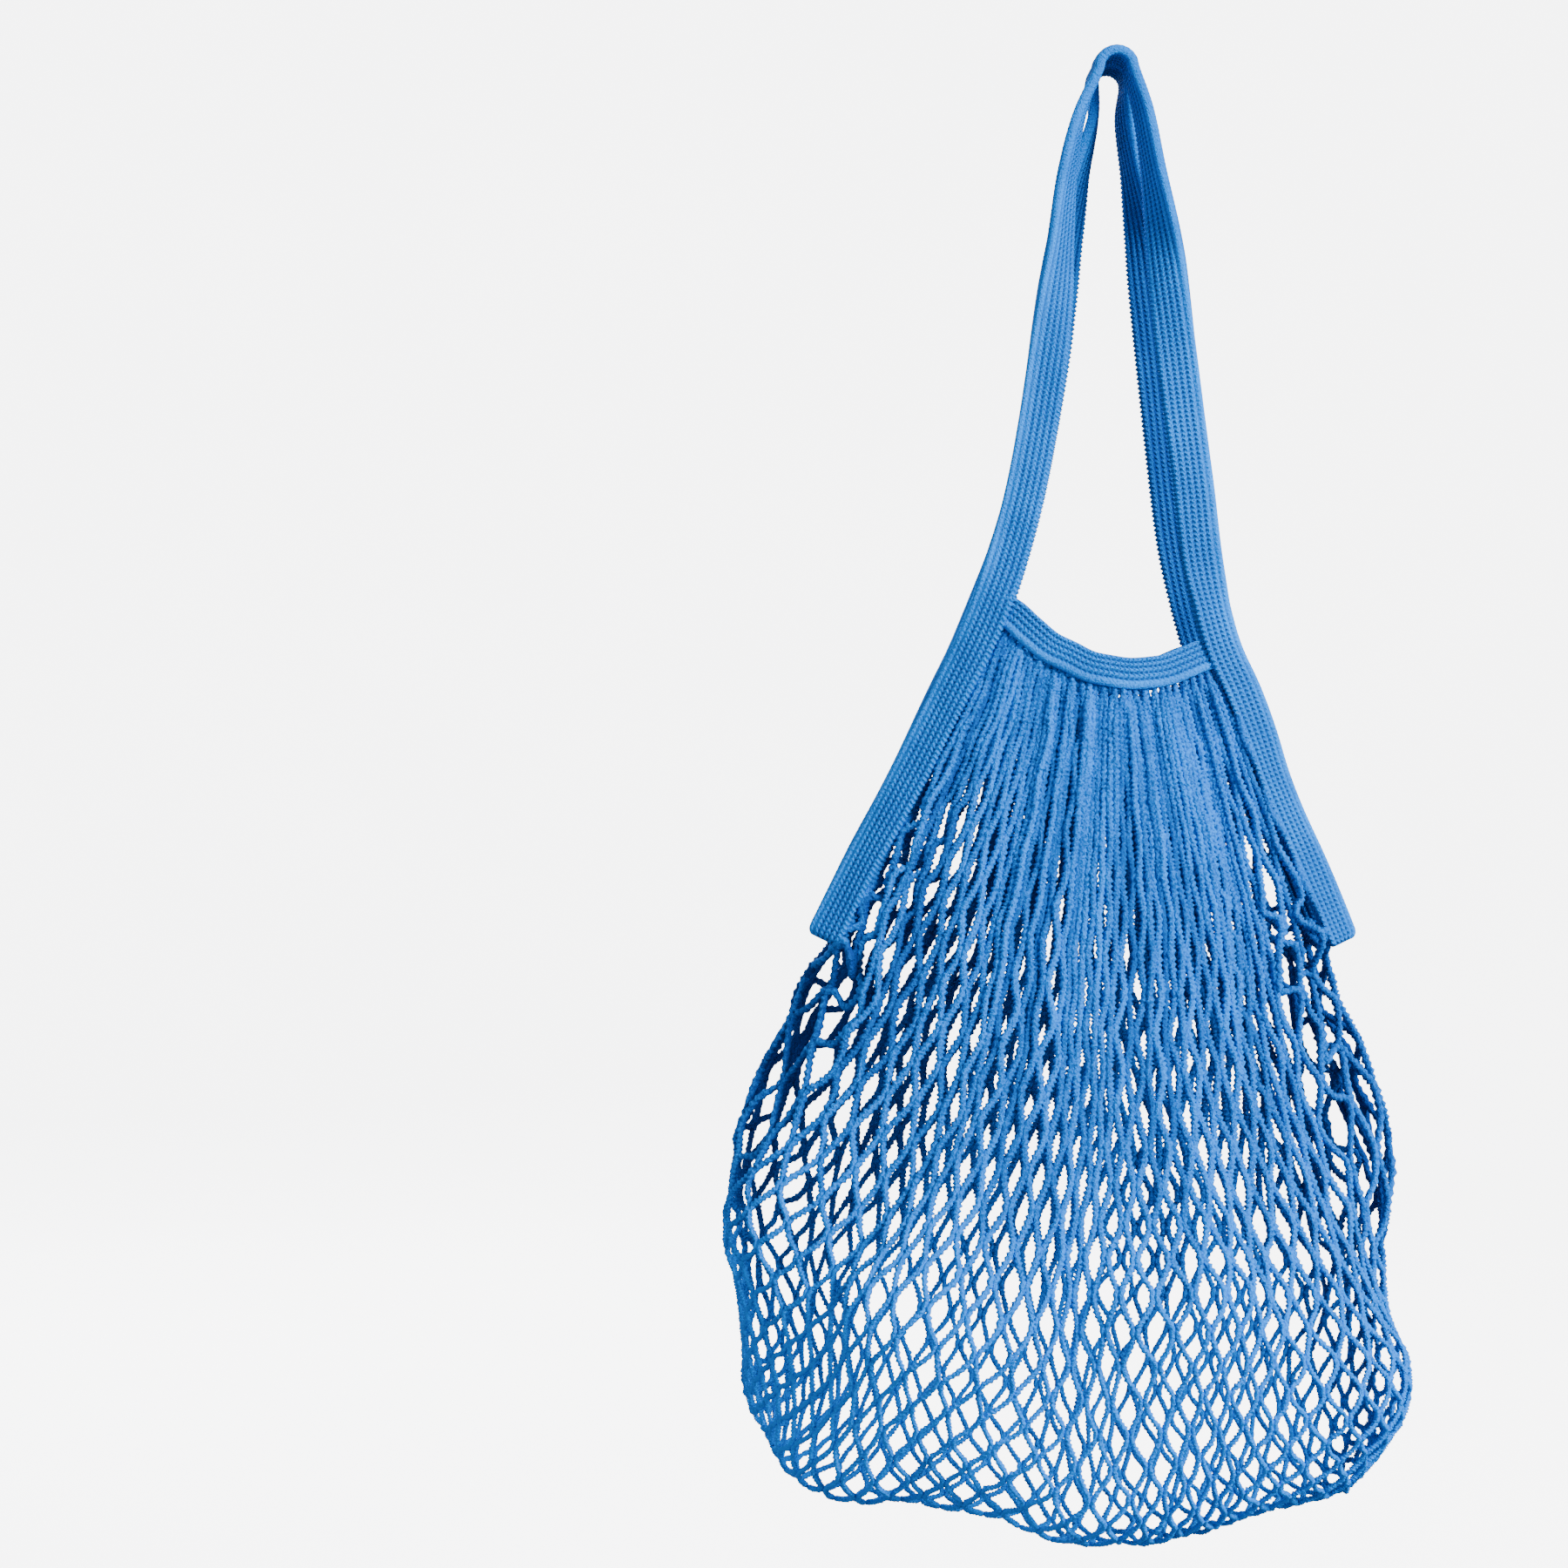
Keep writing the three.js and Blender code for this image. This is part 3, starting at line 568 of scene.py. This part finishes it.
def shares_of(weight, a, b):
    """How much of a move each joint of a pair takes. Sewn ones take none."""
    load = weight[a] + weight[b] + TINY
    return weight[a] / load, weight[b] / load


def half_strands(upper, middle_of, lower, weight):
    """The strands' halves, in batches that share no joint: their ends, shares and lengths."""
    half = strand_lengths() / 2
    batches = []
    for parity in (0, 1):
        for ends in ((upper, middle_of), (middle_of, lower)):
            a, b = [end[:, parity::2].ravel() for end in ends]
            batches.append((a, b, *shares_of(weight, a, b), half[:, parity::2].reshape(-1, 1)))
    return batches


def seam_joints(first, sewn):
    """Joints at the sides, of the front and of the back, that are one below the slits."""
    rows = np.arange(1, HALF_ROWS, 2)
    mirrored = ROWS - 1 - rows
    front = np.concatenate((first[rows], first[rows + 1] - 1))
    back = np.concatenate((first[mirrored], first[mirrored + 1] - 1))
    free = ~sewn[front]
    return front[free], back[free]


def forms_within():
    """Centres and half sizes of the round forms that hold the net out."""
    centres = np.stack((
        FORMS_WITHIN["across"] * SACK_WIDTH,
        FORMS_WITHIN["deep"] * SACK_DEPTH,
        -HANDLE_DROP - FORMS_WITHIN["down"] * SACK_HEIGHT), axis=-1)
    halves = np.stack([
        FORMS_WITHIN[name] * SACK_WIDTH + CORD_RADIUS
        for name in ("wide", "thick", "tall")], axis=-1)
    return centres[:, None], halves[:, None]


def row_neighbours(first, parity, weight):
    """Joints side by side in the upper rows, and how far apart the cords' bulk keeps them."""
    pairs, lengths = [], []
    for row in range(ROWS):
        level = min(row, ROWS - 1 - row) / HALF_ROWS
        if level < OPEN_LEVEL:
            pairs.append(np.arange(first[row] + parity, first[row + 1] - 1, 2))
            apart = mix(GATHERED_CELL, OPEN_CELL, min(1.0, level / SEWN_LEVEL))
            column = pairs[-1] - first[row]
            if row > HALF_ROWS:
                apart = apart * (1 + BACK_LEAN * np.cos(column / COLUMNS * math.pi))
                column = column + BACK_BUNCHES
            lengths.append(apart * (1 + BUNCHING * bunches(column)))
    left = np.concatenate(pairs)
    return left, left + 1, *shares_of(weight, left, left + 1), np.concatenate(lengths)


def pull_taut(place, strands):
    """Draws in strands that are too long, and pushes slack ones out a little."""
    for a, b, share_a, share_b, length in strands:
        along = place[b] - place[a]
        reach = np.linalg.norm(along, axis=1, keepdims=True) + TINY
        excess = (reach - length) / reach
        pull = along * np.where(excess > 0, excess, excess * NET_GIVE)
        place[a] += pull * share_a
        place[b] -= pull * share_b


def keep_apart(place, neighbours):
    """Pushes joints of a row apart where they crowd each other."""
    for a, b, share_a, share_b, apart in neighbours:
        crowded = np.maximum(0.0, apart - place[b, 0] + place[a, 0]) * NET_OPENNESS
        place[a, 0] -= crowded * share_a
        place[b, 0] += crowded * share_b


def push_out(place, centres, halves):
    """Moves what lies inside a round form out to its surface, and tells what that was."""
    nearness = np.linalg.norm((place[None] - centres) / halves, axis=2)
    which = nearness.argmin(axis=0)
    depth = nearness[which, np.arange(len(place))]
    inside = depth < 1
    centre = centres[which[inside], 0]
    place[inside] = centre + (place[inside] - centre) / depth[inside][:, None]
    return inside


def settle_net():
    """Places of the joints and of the middles of the strands, once the net hangs still."""
    joint_of, first = joints_of_cords()
    joints, sewn = start_of_net(first)
    upper, lower = joint_of[:-1], joint_of[1:]
    middle_of = len(joints) + np.arange(upper.size).reshape(upper.shape)
    middles = (joints[upper] + joints[lower]).reshape(-1, 3) / 2
    place = np.concatenate((joints, middles))
    held = np.zeros(len(place), bool)
    held[:len(joints)] = sewn
    pinned = place[held]
    weight = np.where(held, 0.0, 1.0)
    weights = weight[:, None]
    strands = half_strands(upper, middle_of, lower, weights)
    neighbours = [row_neighbours(first, parity, weight) for parity in (0, 1)]
    seam_front, seam_back = seam_joints(first, sewn)
    centres, halves = forms_within()

    place += rng.standard_normal(place.shape) * START_JITTER * weights
    before = place.copy()
    for _ in range(NET_STEPS):
        drift = (place - before) * NET_DAMPING
        before = place.copy()
        place += (drift - UPWARD * NET_FALL) * weights
        for sweep in range(NET_SWEEPS):
            pull_taut(place, strands)
            keep_apart(place, neighbours)
            seam = (place[seam_front] + place[seam_back]) / 2
            place[seam_front] = seam
            place[seam_back] = seam
            if (sweep + 1) % CONTACT_SWEEPS == 0:
                inside = push_out(place, centres, halves)
                place[:, 1] = np.minimum(place[:, 1], BACK_LIMIT)
                place[held] = pinned
        place[held] = pinned
        before[inside] = mix(before[inside], place[inside], NET_FRICTION)
    shift = gathered(place, sewn, first)
    place[:len(joints)] += shift
    place[middle_of] += (shift[upper] + shift[lower]) / 2
    place[:, 1] = np.minimum(place[:, 1], BACK_LIMIT)
    return place[joint_of], place[middle_of]


def gathered(place, sewn, first):
    """How far joints move where the net hangs slack: the back bunches up at the sides, in a
    crumple, and the front draws together in the middle."""
    shift = np.zeros((first[-1], 3))
    for row in range(1, ROWS - 1):
        strength = between(min(row, ROWS - 1 - row) / HALF_ROWS, *BUNCH_LEVELS)
        slot = slice(first[row], first[row + 1])
        x = place[slot, 0]
        middle, half = (x.max() + x.min()) / 2, (x.max() - x.min()) / 2
        side = (x - middle) / half
        aside = np.minimum(np.abs(side), 1.0)
        if row > HALF_ROWS:
            moved = aside + BACK_GATHER * strength * aside ** 2 * (1 - aside)
            loose = (aside ** 4 * (aside < CRUMPLED_SIDE) * strength)[:, None]
            shift[slot] += CRUMPLE * loose * rng.standard_normal((len(x), 3))
        else:
            moved = aside ** (1 + FRONT_GATHER * strength)
        shift[slot, 0] += (np.sign(side) * moved - side) * half
    shift[sewn] = 0.0
    return shift


def cord_lines(joints, middles):
    """Middle lines of the cords: side by side through each joint, and round between joints."""
    rows, cords = np.arange(ROWS)[:, None], np.arange(CORDS)[None, :]
    after = np.concatenate((middles, 2 * joints[-1:] - middles[-1:]))
    before = np.concatenate((2 * joints[:1] - middles[:1], middles))
    to_right = np.where((rows + cords) % 2 == 0, LEFT, RIGHT)
    partner = np.clip(cords - to_right, 0, CORDS - 1)
    run = unit(after - before)
    run_both = unit(run + run[rows, partner])
    apart = (before + after - before[rows, partner] - after[rows, partner]) * to_right[..., None]
    inward = DEPTHWARD * np.where(rows <= HALF_ROWS, 1, -1)[..., None]
    lone = (partner == cords)[..., None]
    apart = np.where(lone, np.cross(run_both, inward), apart)
    apart = unit(apart - run_both * dot(apart, run_both)) * to_right[..., None]
    middle = joints + apart * CORD_RADIUS * JOINT_HUG
    half = run_both * JOINT_LENGTH / 2
    points = np.stack((middle - half, middle + half, after), axis=1)
    points = points.reshape(3 * ROWS, CORDS, 3)[:-1].transpose(1, 0, 2)
    along_joint = np.arange(JOINT_STEPS) / JOINT_STEPS
    along_half = np.arange(STRAND_STEPS // 2) / (STRAND_STEPS // 2)
    one = np.concatenate((along_joint, 1 + along_half, 2 + along_half))
    at = (3 * np.arange(ROWS)[:, None] + one[None, :]).ravel()
    at = at[at <= 3 * ROWS - 2]
    return smooth_line(points, at)


def frames_along(lines, first_side):
    """Two directions across each line that turn with it and don't twist."""
    tangents = unit(np.gradient(lines, axis=-2))
    across = np.empty_like(lines)
    side = np.broadcast_to(first_side, lines[..., 0, :].shape)
    for k in range(lines.shape[-2]):
        tangent = tangents[..., k, :]
        side = unit(side - tangent * dot(side, tangent))
        across[..., k, :] = side
    return across, np.cross(tangents, across)


def facing_in(places, normals):
    """How much a surface faces the inside of the bag, from 0 to 1. The finishes paint shade by it.
    """
    outward = unit((places - SACK_MIDDLE) / SACK_HALVES ** 2)
    return 0.5 - 0.5 * dot(normals, outward)[..., 0]


def tube_pattern(stations, around):
    """One closed tube, and which station and which point round it each of its corners is."""
    pattern = bmesh.new()
    pattern.loops.layers.uv.new("UVMap")
    bmesh.ops.create_grid(
        pattern, x_segments=around, y_segments=stations - 1, size=1.0, calc_uvs=True)
    for vert in pattern.verts:
        angle = math.pi * (vert.co.x + 1)
        vert.co = (math.cos(angle), math.sin(angle), (vert.co.y + 1) / 2 * (stations - 1))
    bmesh.ops.remove_doubles(pattern, verts=pattern.verts, dist=1e-3)
    bmesh.ops.holes_fill(pattern, edges=[e for e in pattern.edges if e.is_boundary], sides=around)
    bmesh.ops.recalc_face_normals(pattern, faces=pattern.faces)
    corners = np.array([vert.co for vert in pattern.verts])
    turn = np.arctan2(corners[:, 1], corners[:, 0]) / (2 * math.pi)
    point = np.round(turn * around).astype(int) % around
    station = np.round(corners[:, 2]).astype(int)
    one = bpy.data.meshes.new("tube_pattern")
    pattern.to_mesh(one)
    pattern.free()
    return one, station, point


def lay_tubes(name, places, notes, finish):
    """Closed tubes as one piece. places: by tube, station and point round it."""
    tubes, stations, around = places.shape[:3]
    one, station, point = tube_pattern(stations, around)
    joined = bmesh.new()
    for _ in range(tubes):
        joined.from_mesh(one)
    for face in joined.faces:
        face.smooth = True
    mesh = bpy.data.meshes.new(name)
    joined.to_mesh(mesh)
    joined.free()
    bpy.data.meshes.remove(one)
    mesh.vertices.foreach_set("co", places[:, station, point].astype(np.float32).ravel())
    for note, values in notes.items():
        layer = mesh.attributes.new(note, "FLOAT", "POINT")
        full = np.broadcast_to(values, places.shape[:3])
        layer.data.foreach_set("value", full[:, station, point].astype(np.float32).ravel())
    mesh.update()
    mesh.materials.append(finish)
    piece = bpy.data.objects.new(name, mesh)
    bpy.context.scene.collection.objects.link(piece)
    return piece


def folds(cord, row):
    """Uneven folds down the net, from -1 to 1."""
    return np.sin(cord * 1.3 + 2.0 * np.sin(cord * 0.37) + 1.5 * np.sin(row * 0.35 + cord * 0.21))


def make_net(finish):
    """The net's cords, in pieces from left to right."""
    lines = cord_lines(*settle_net())
    stations = lines.shape[1]
    angle = np.arange(CORD_SIDES) / CORD_SIDES * 2 * math.pi
    row = np.arange(stations) * (ROWS - 1) / (stations - 1)
    level = np.minimum(row, ROWS - 1 - row) / HALF_ROWS
    slack = 1 - smoothstep(level, *SLACK_END)
    cord = np.arange(CORDS)[:, None]
    fold = folds(cord, row) * between(level, *FOLD_LEVELS)
    lines[..., 1] -= np.where(row <= HALF_ROWS, FRONT, BACK) * fold * FOLD_RELIEF
    across, out = frames_along(lines, np.array((1.0, 0.0, 0.0)))
    knit = np.cos(math.pi * np.arange(stations)[:, None] + angle)
    plump = SLACK_PLUMPNESS * slack * smoothstep(level, *PLUMP_START)
    radius = CORD_RADIUS * (1 + plump)[:, None] * (1 + STITCH_SWELL * knit)
    radius = radius * (1 + UNEVENNESS * rng.standard_normal((CORDS, stations, 1)))
    normals = across[:, :, None] * np.cos(angle)[:, None] + out[:, :, None] * np.sin(angle)[:, None]
    places = lines[:, :, None] + normals * radius[..., None]
    # Painted shade: each cord is painted darker on its sides that face the inside of the bag.
    inward = facing_in(lines[:, :, None], normals)
    # A random tone along each cord, raised where the cords hang stretched and lowered high up where
    # they hang slack, and lowered deep in the folds and where the back bunches up, as painted
    # shade.
    marks = np.linspace(0, stations - 1, ROWS // TONE_ROWS)
    tone_and_shade = np.stack([
        np.interp(np.arange(stations), marks, rng.random(len(marks))) for _ in range(CORDS)])
    aside = np.abs(2 * cord / (CORDS - 1) - 1)
    bunch = aside ** 4 * between(level, *BUNCH_LEVELS) * (row > HALF_ROWS)
    tone_and_shade = tone_and_shade + (1 - slack) - FOLD_SHADE * fold - BUNCH_SHADE * bunch
    notes = {"tone_and_shade": tone_and_shade[..., None], "inward": inward, "knit": 0.5 + 0.5 * knit[None]}
    names = ("net_cords_left_side", "net_cords_left", "net_cords_right", "net_cords_right_side")
    group = CORDS // len(names)
    pieces = []
    for k, name in enumerate(names):
        own = slice(k * group, (k + 1) * group)
        own_notes = {
            note: values[own] if len(values) > 1 else values for note, values in notes.items()}
        piece = lay_tubes(name, places[own], own_notes, finish)
        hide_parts("net_sack")
        pieces.append(piece)
    return pieces


# Tapes

def band_section(ribs, open_edge):
    """Points round a folded tape, from its open or lower edge: how far out each lies, as a share
    of the half width, its place in ribs, and its face: 1, -1, or 0 on the two edges."""
    per_face = RIB_POINTS * ribs + 1
    step = np.arange(per_face) / (per_face - 1)
    front_share = 1 - 2 * (step if open_edge else step ** RIM_NARROWING)
    edge = OPEN_EDGE if open_edge else 1.0
    share = np.concatenate(([edge], front_share, [-1.0], front_share[::-1]))
    rib = np.concatenate(([0.0], step * ribs, [ribs], (1 - step) * ribs))
    face = np.concatenate(([0.0], np.ones(per_face), [0.0], -np.ones(per_face)))
    return share, rib, face


def ribbed_band(name, route, width, thickness, ribs, outside, open_edge, finish):
    """A folded knitted tape: ribs along both faces, a round fold, and an open or stitched edge."""
    line, spread, run = route
    tangent = unit(np.gradient(line, axis=0))
    across = unit(spread - tangent * dot(spread, tangent))
    out = np.cross(tangent, across)
    share, rib, face = band_section(ribs, open_edge)
    on_face = np.abs(face) > 0
    valley = on_face & (np.abs(rib - np.round(rib)) < 0.01) & (rib > 0.5) & (rib < ribs - 0.5)
    height = (1 - np.abs(share * FACE_REACH) ** TAPE_SQUARENESS) ** (1 / TAPE_SQUARENESS)
    height = height * (thickness / 2 - RIB_RELIEF / 2)
    height[~on_face] = 0.0
    phase = 2 * math.pi * run[:, None] / COURSE
    stitch = 0.5 + 0.5 * np.cos(phase + STITCH_SHIFT * np.sin(rib[None, :] * 2.1))
    relief = np.where(valley | ~on_face, 0.0, RIB_RELIEF * mix(1 - STITCH_DEPTH, 1.0, stitch))
    reach = np.tile(share * FACE_REACH * width / 2, (len(run), 1))
    if open_edge:
        reach[:, on_face & (rib < 0.1)] += PICOT * (0.5 + 0.5 * np.cos(phase))
    end = np.minimum(run, run[-1] - run)[:, None]
    rounding = np.sqrt(1 - (1 - np.clip(end / (thickness * END_ROUNDING), 0.02, 1)) ** 2)
    reach *= mix(END_WIDTH, 1.0, rounding)
    deep = (face * (height + relief)) * rounding
    wave = TAPE_WAVE * np.sin(run[:, None] / WAVE_LENGTH + share * 2)
    places = (line[:, None] + across[:, None] * reach[..., None]
              + out[:, None] * (deep + wave)[..., None])
    # Painted shade: a tape is painted darker on its face towards the inside of the bag.
    inward = 0.5 - 0.5 * outside * out[:, None, 1] * face
    if open_edge:
        smooth = smoothstep(rib, ribs - SMOOTH_FOLD[0], ribs - SMOOTH_FOLD[1])
    else:
        smooth = 1 - smoothstep(rib, *BORDER)
    notes = {
        "inward": inward[None],
        "smooth": smooth[None, None, :],
        "rib": rib[None, None, :],
        "run": run[None, :, None],
        "groove": valley.astype(float)[None, None, :],
    }
    return lay_tubes(name, places[None], notes, finish)


# Finishes

class Wire:
    """A shader socket. Sums and products of wires and numbers add their Math nodes."""

    def __init__(self, tree, socket):
        self.tree = tree
        self.socket = socket

    def math(self, operation, *values):
        return self.tree.node("ShaderNodeMath", {"operation": operation}, dict(enumerate(values)))

    def __add__(self, other):
        return self.math("ADD", self, other)

    def __sub__(self, other):
        return self.math("SUBTRACT", self, other)

    def __rsub__(self, other):
        return self.math("SUBTRACT", other, self)

    def __mul__(self, other):
        return self.math("MULTIPLY", self, other)

    __radd__ = __add__
    __rmul__ = __mul__

    def sine(self):
        return self.math("SINE", self)

    def clamped(self):
        return self.math("MINIMUM", self.math("MAXIMUM", self, 0.0), 1.0)


class Finish:
    """A material in the making."""

    def __init__(self, name):
        self.material = bpy.data.materials.new(name)
        self.material.use_nodes = True
        self.nodes = self.material.node_tree.nodes
        self.links = self.material.node_tree.links
        self.nodes.clear()

    def node(self, kind, settings=None, inputs=None, output=0):
        """A node of one kind. Its settings come first, then its sockets' values or wires."""
        node = self.nodes.new(kind)
        for name, value in (settings or {}).items():
            setattr(node, name, value)
        for key, value in (inputs or {}).items():
            if isinstance(value, Wire):
                self.links.new(value.socket, node.inputs[key])
            else:
                node.inputs[key].default_value = value
        return Wire(self, node.outputs[output]) if node.outputs else None

    def attribute(self, name):
        return self.node("ShaderNodeAttribute", {"attribute_name": name}, output="Fac")

    def noise(self, scale, detail):
        spot = self.node("ShaderNodeTexCoord", output="Object")
        return self.node(
            "ShaderNodeTexNoise", inputs={"Vector": spot, "Scale": scale, "Detail": detail})

    def blend(self, share, low, high):
        """A colour between two others."""
        return self.node(
            "ShaderNodeMix", {"data_type": "RGBA"}, {0: share, 6: low, 7: high}, output=2)

    def cotton(self, colour, height, distance):
        """Cotton of a colour, rough by a height that counts for a distance."""
        bump = self.node("ShaderNodeBump", inputs={"Height": height, "Distance": distance})
        shader = self.node("ShaderNodeBsdfPrincipled", inputs={
            "Base Color": colour,
            "Normal": bump,
            "Roughness": COTTON_ROUGHNESS,
            "Specular IOR Level": COTTON_GLOSS,
            "Sheen Weight": LINT_SHEEN,
            "Sheen Roughness": LINT_ROUGHNESS,
            "Sheen Tint": LINT_BLUE,
        })
        self.node("ShaderNodeOutputMaterial", inputs={"Surface": shader})
        return self.material


def cord_finish():
    """Soft knitted cotton cord with lint, patches of dye and a tone along each cord. Its standing
    stitches are painted lighter, as a painted highlight. Between them, in its folds and bunches and
    on its inner side it is painted darker, as painted shade.
    """
    cord = Finish("net_cotton")
    knit = cord.attribute("knit")
    lint = cord.noise(CORD_LINT, 2.0) - 0.5
    patches = cord.noise(CORD_PATCHES, 1.0) - 0.5
    tone_and_shade = cord.attribute("tone_and_shade")
    # Brighter cotton where the lint, the dye patches and the tone say, and a painted highlight on
    # the standing stitches.
    light = (knit * 0.50 + lint * 2.2 + patches + tone_and_shade * 0.75 - 0.32).clamped()
    # Painted shade between the stitches, and where the lint is thin.
    recess_shade = (lint * -2.4 - knit * 0.8 + 0.7).clamped()
    # Painted shade on the cord's sides that face the inside of the bag.
    inner_side_shade = ((cord.attribute("inward") - 0.12) * 1.7).clamped()
    # All painted shade of the cord: between its stitches, along the tone's folds and bunches, and
    # on its inner side.
    shade = (recess_shade * 0.45 + (0.50 - tone_and_shade) * 0.40 + inner_side_shade * INNER_PAINTED_SHADE).clamped()
    colour = cord.blend(shade, cord.blend(light, PLAIN_CORD, BRIGHT_CORD), PAINTED_SHADE_BLUE)
    return cord.cotton(colour, knit * 0.6 + lint * 1.8, CORD_BUMP)


def tape_finish():
    """Ribbed cotton tape, with painted shade in its grooves and on its face towards the inside of
    the bag, and slanted stitches along each rib.
    """
    tape = Finish("tape_cotton")
    rib = tape.attribute("rib")
    smooth = tape.attribute("smooth")
    from_middle = rib.math("ABSOLUTE", rib.math("FRACT", rib) - 0.5)
    course = tape.attribute("run") * (2 * math.pi / COURSE)
    stitch = (course + from_middle * STITCH_SLANT).sine() * (1 - smooth * 0.7)
    lint = tape.noise(TAPE_LINT, 2.0) - 0.5
    patches = tape.noise(TAPE_PATCHES, 1.0) - 0.5
    groove = tape.attribute("groove") * (1 - smooth * 0.35)
    light = (stitch * 0.26 + lint * 1.6 + patches * 1.2 + smooth * 0.36 + 0.28).clamped()
    # Painted shade in the grooves between the ribs.
    recess_shade = (groove * (0.88 - stitch * 0.32)).clamped()
    # Painted shade on the tape's face towards the inside of the bag.
    inner_side_shade = tape.attribute("inward") * INNER_PAINTED_SHADE * 0.80
    shade = (recess_shade + inner_side_shade).clamped()
    colour = tape.blend(shade, tape.blend(light, PLAIN_TAPE, BRIGHT_TAPE), PAINTED_SHADE_BLUE)
    return tape.cotton(colour, stitch * 0.4 + lint * 1.5 - groove * 0.6, TAPE_BUMP)


# Stage

def make_stage():
    """A pale paper floor that turns up all round, far from the bag."""
    profile = [(0.0, FLOOR_LEVEL), (FLOOR_RADIUS, FLOOR_LEVEL)]
    for k in range(1, TURN_STEPS + 1):
        angle = math.pi / 2 * k / TURN_STEPS
        profile.append((FLOOR_RADIUS + TURN_RADIUS * math.sin(angle),
                        FLOOR_LEVEL + TURN_RADIUS * (1 - math.cos(angle))))
    profile.append((FLOOR_RADIUS + TURN_RADIUS, STAGE_TOP))
    bowl = bmesh.new()
    verts = [bowl.verts.new((x, 0.0, z)) for x, z in profile]
    edges = [bowl.edges.new(pair) for pair in zip(verts, verts[1:])]
    bmesh.ops.spin(
        bowl, geom=verts + edges, cent=(0, 0, 0), axis=(0, 0, 1), angle=2 * math.pi,
        steps=STAGE_SIDES, use_merge=True)
    bmesh.ops.remove_doubles(bowl, verts=bowl.verts, dist=1e-4)
    for face in bowl.faces:
        face.smooth = True
    mesh = bpy.data.meshes.new("stage")
    bowl.to_mesh(mesh)
    bowl.free()
    pale = Finish("pale_paper")
    grain = pale.noise(PAPER_GRAIN, 2.0)
    shade = pale.blend(grain, PAPER_GREY, PAPER_WHITE)
    shader = pale.node("ShaderNodeBsdfPrincipled", inputs={
        "Base Color": shade,
        "Roughness": PAPER_ROUGHNESS,
        "Emission Color": shade,
        "Emission Strength": PAPER_GLOW,
    })
    pale.node("ShaderNodeOutputMaterial", inputs={"Surface": shader})
    mesh.materials.append(pale.material)
    stage = bpy.data.objects.new("stage", mesh)
    bpy.context.scene.collection.objects.link(stage)
    stage.visible_diffuse = False
    stage.visible_glossy = False


def make_light(name, place, size, power, colour):
    """A soft square lamp that faces the bag's middle."""
    lamp = bpy.data.lights.new(name, "AREA")
    lamp.size = size
    lamp.energy = power
    lamp.color = colour
    thing = bpy.data.objects.new(name, lamp)
    thing.location = place
    aim = Vector(LAMP_TARGET) - Vector(place)
    thing.rotation_euler = aim.to_track_quat("-Z", "Y").to_euler()
    bpy.context.scene.collection.objects.link(thing)


def make_lighting():
    for lamp in LAMPS:
        make_light(*lamp)
    world = bpy.data.worlds.new("room")
    world.use_nodes = True
    sky = world.node_tree.nodes["Background"]
    sky.inputs["Color"].default_value = ROOM_COLOUR
    sky.inputs["Strength"].default_value = ROOM_LIGHT
    bpy.context.scene.world = world


make_camera()
make_stage()
make_lighting()
tape_cotton = tape_finish()
for face, side_name, left_leg, right_leg in (
        (FRONT, "front", FRONT_LEFT_LEG, FRONT_RIGHT_LEG),
        (BACK, "back", BACK_LEFT_LEG, BACK_RIGHT_LEG)):
    tape = ribbed_band(
        side_name + "_knit_tape", tape_route(face, left_leg, right_leg), TAPE_WIDTH, TAPE_THICKNESS,
        RIBS, face, True, tape_cotton)
    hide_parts(side_name + "_tape")
    rim = ribbed_band(
        side_name + "_knit_rim", rim_route(face), RIM_WIDTH, RIM_THICKNESS, RIBS - 1, face,
        False, tape_cotton)
    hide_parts(side_name + "_rim")
    for piece in (tape, rim):
        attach(piece, "root")
for piece in make_net(cord_finish()):
    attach(piece, "root")
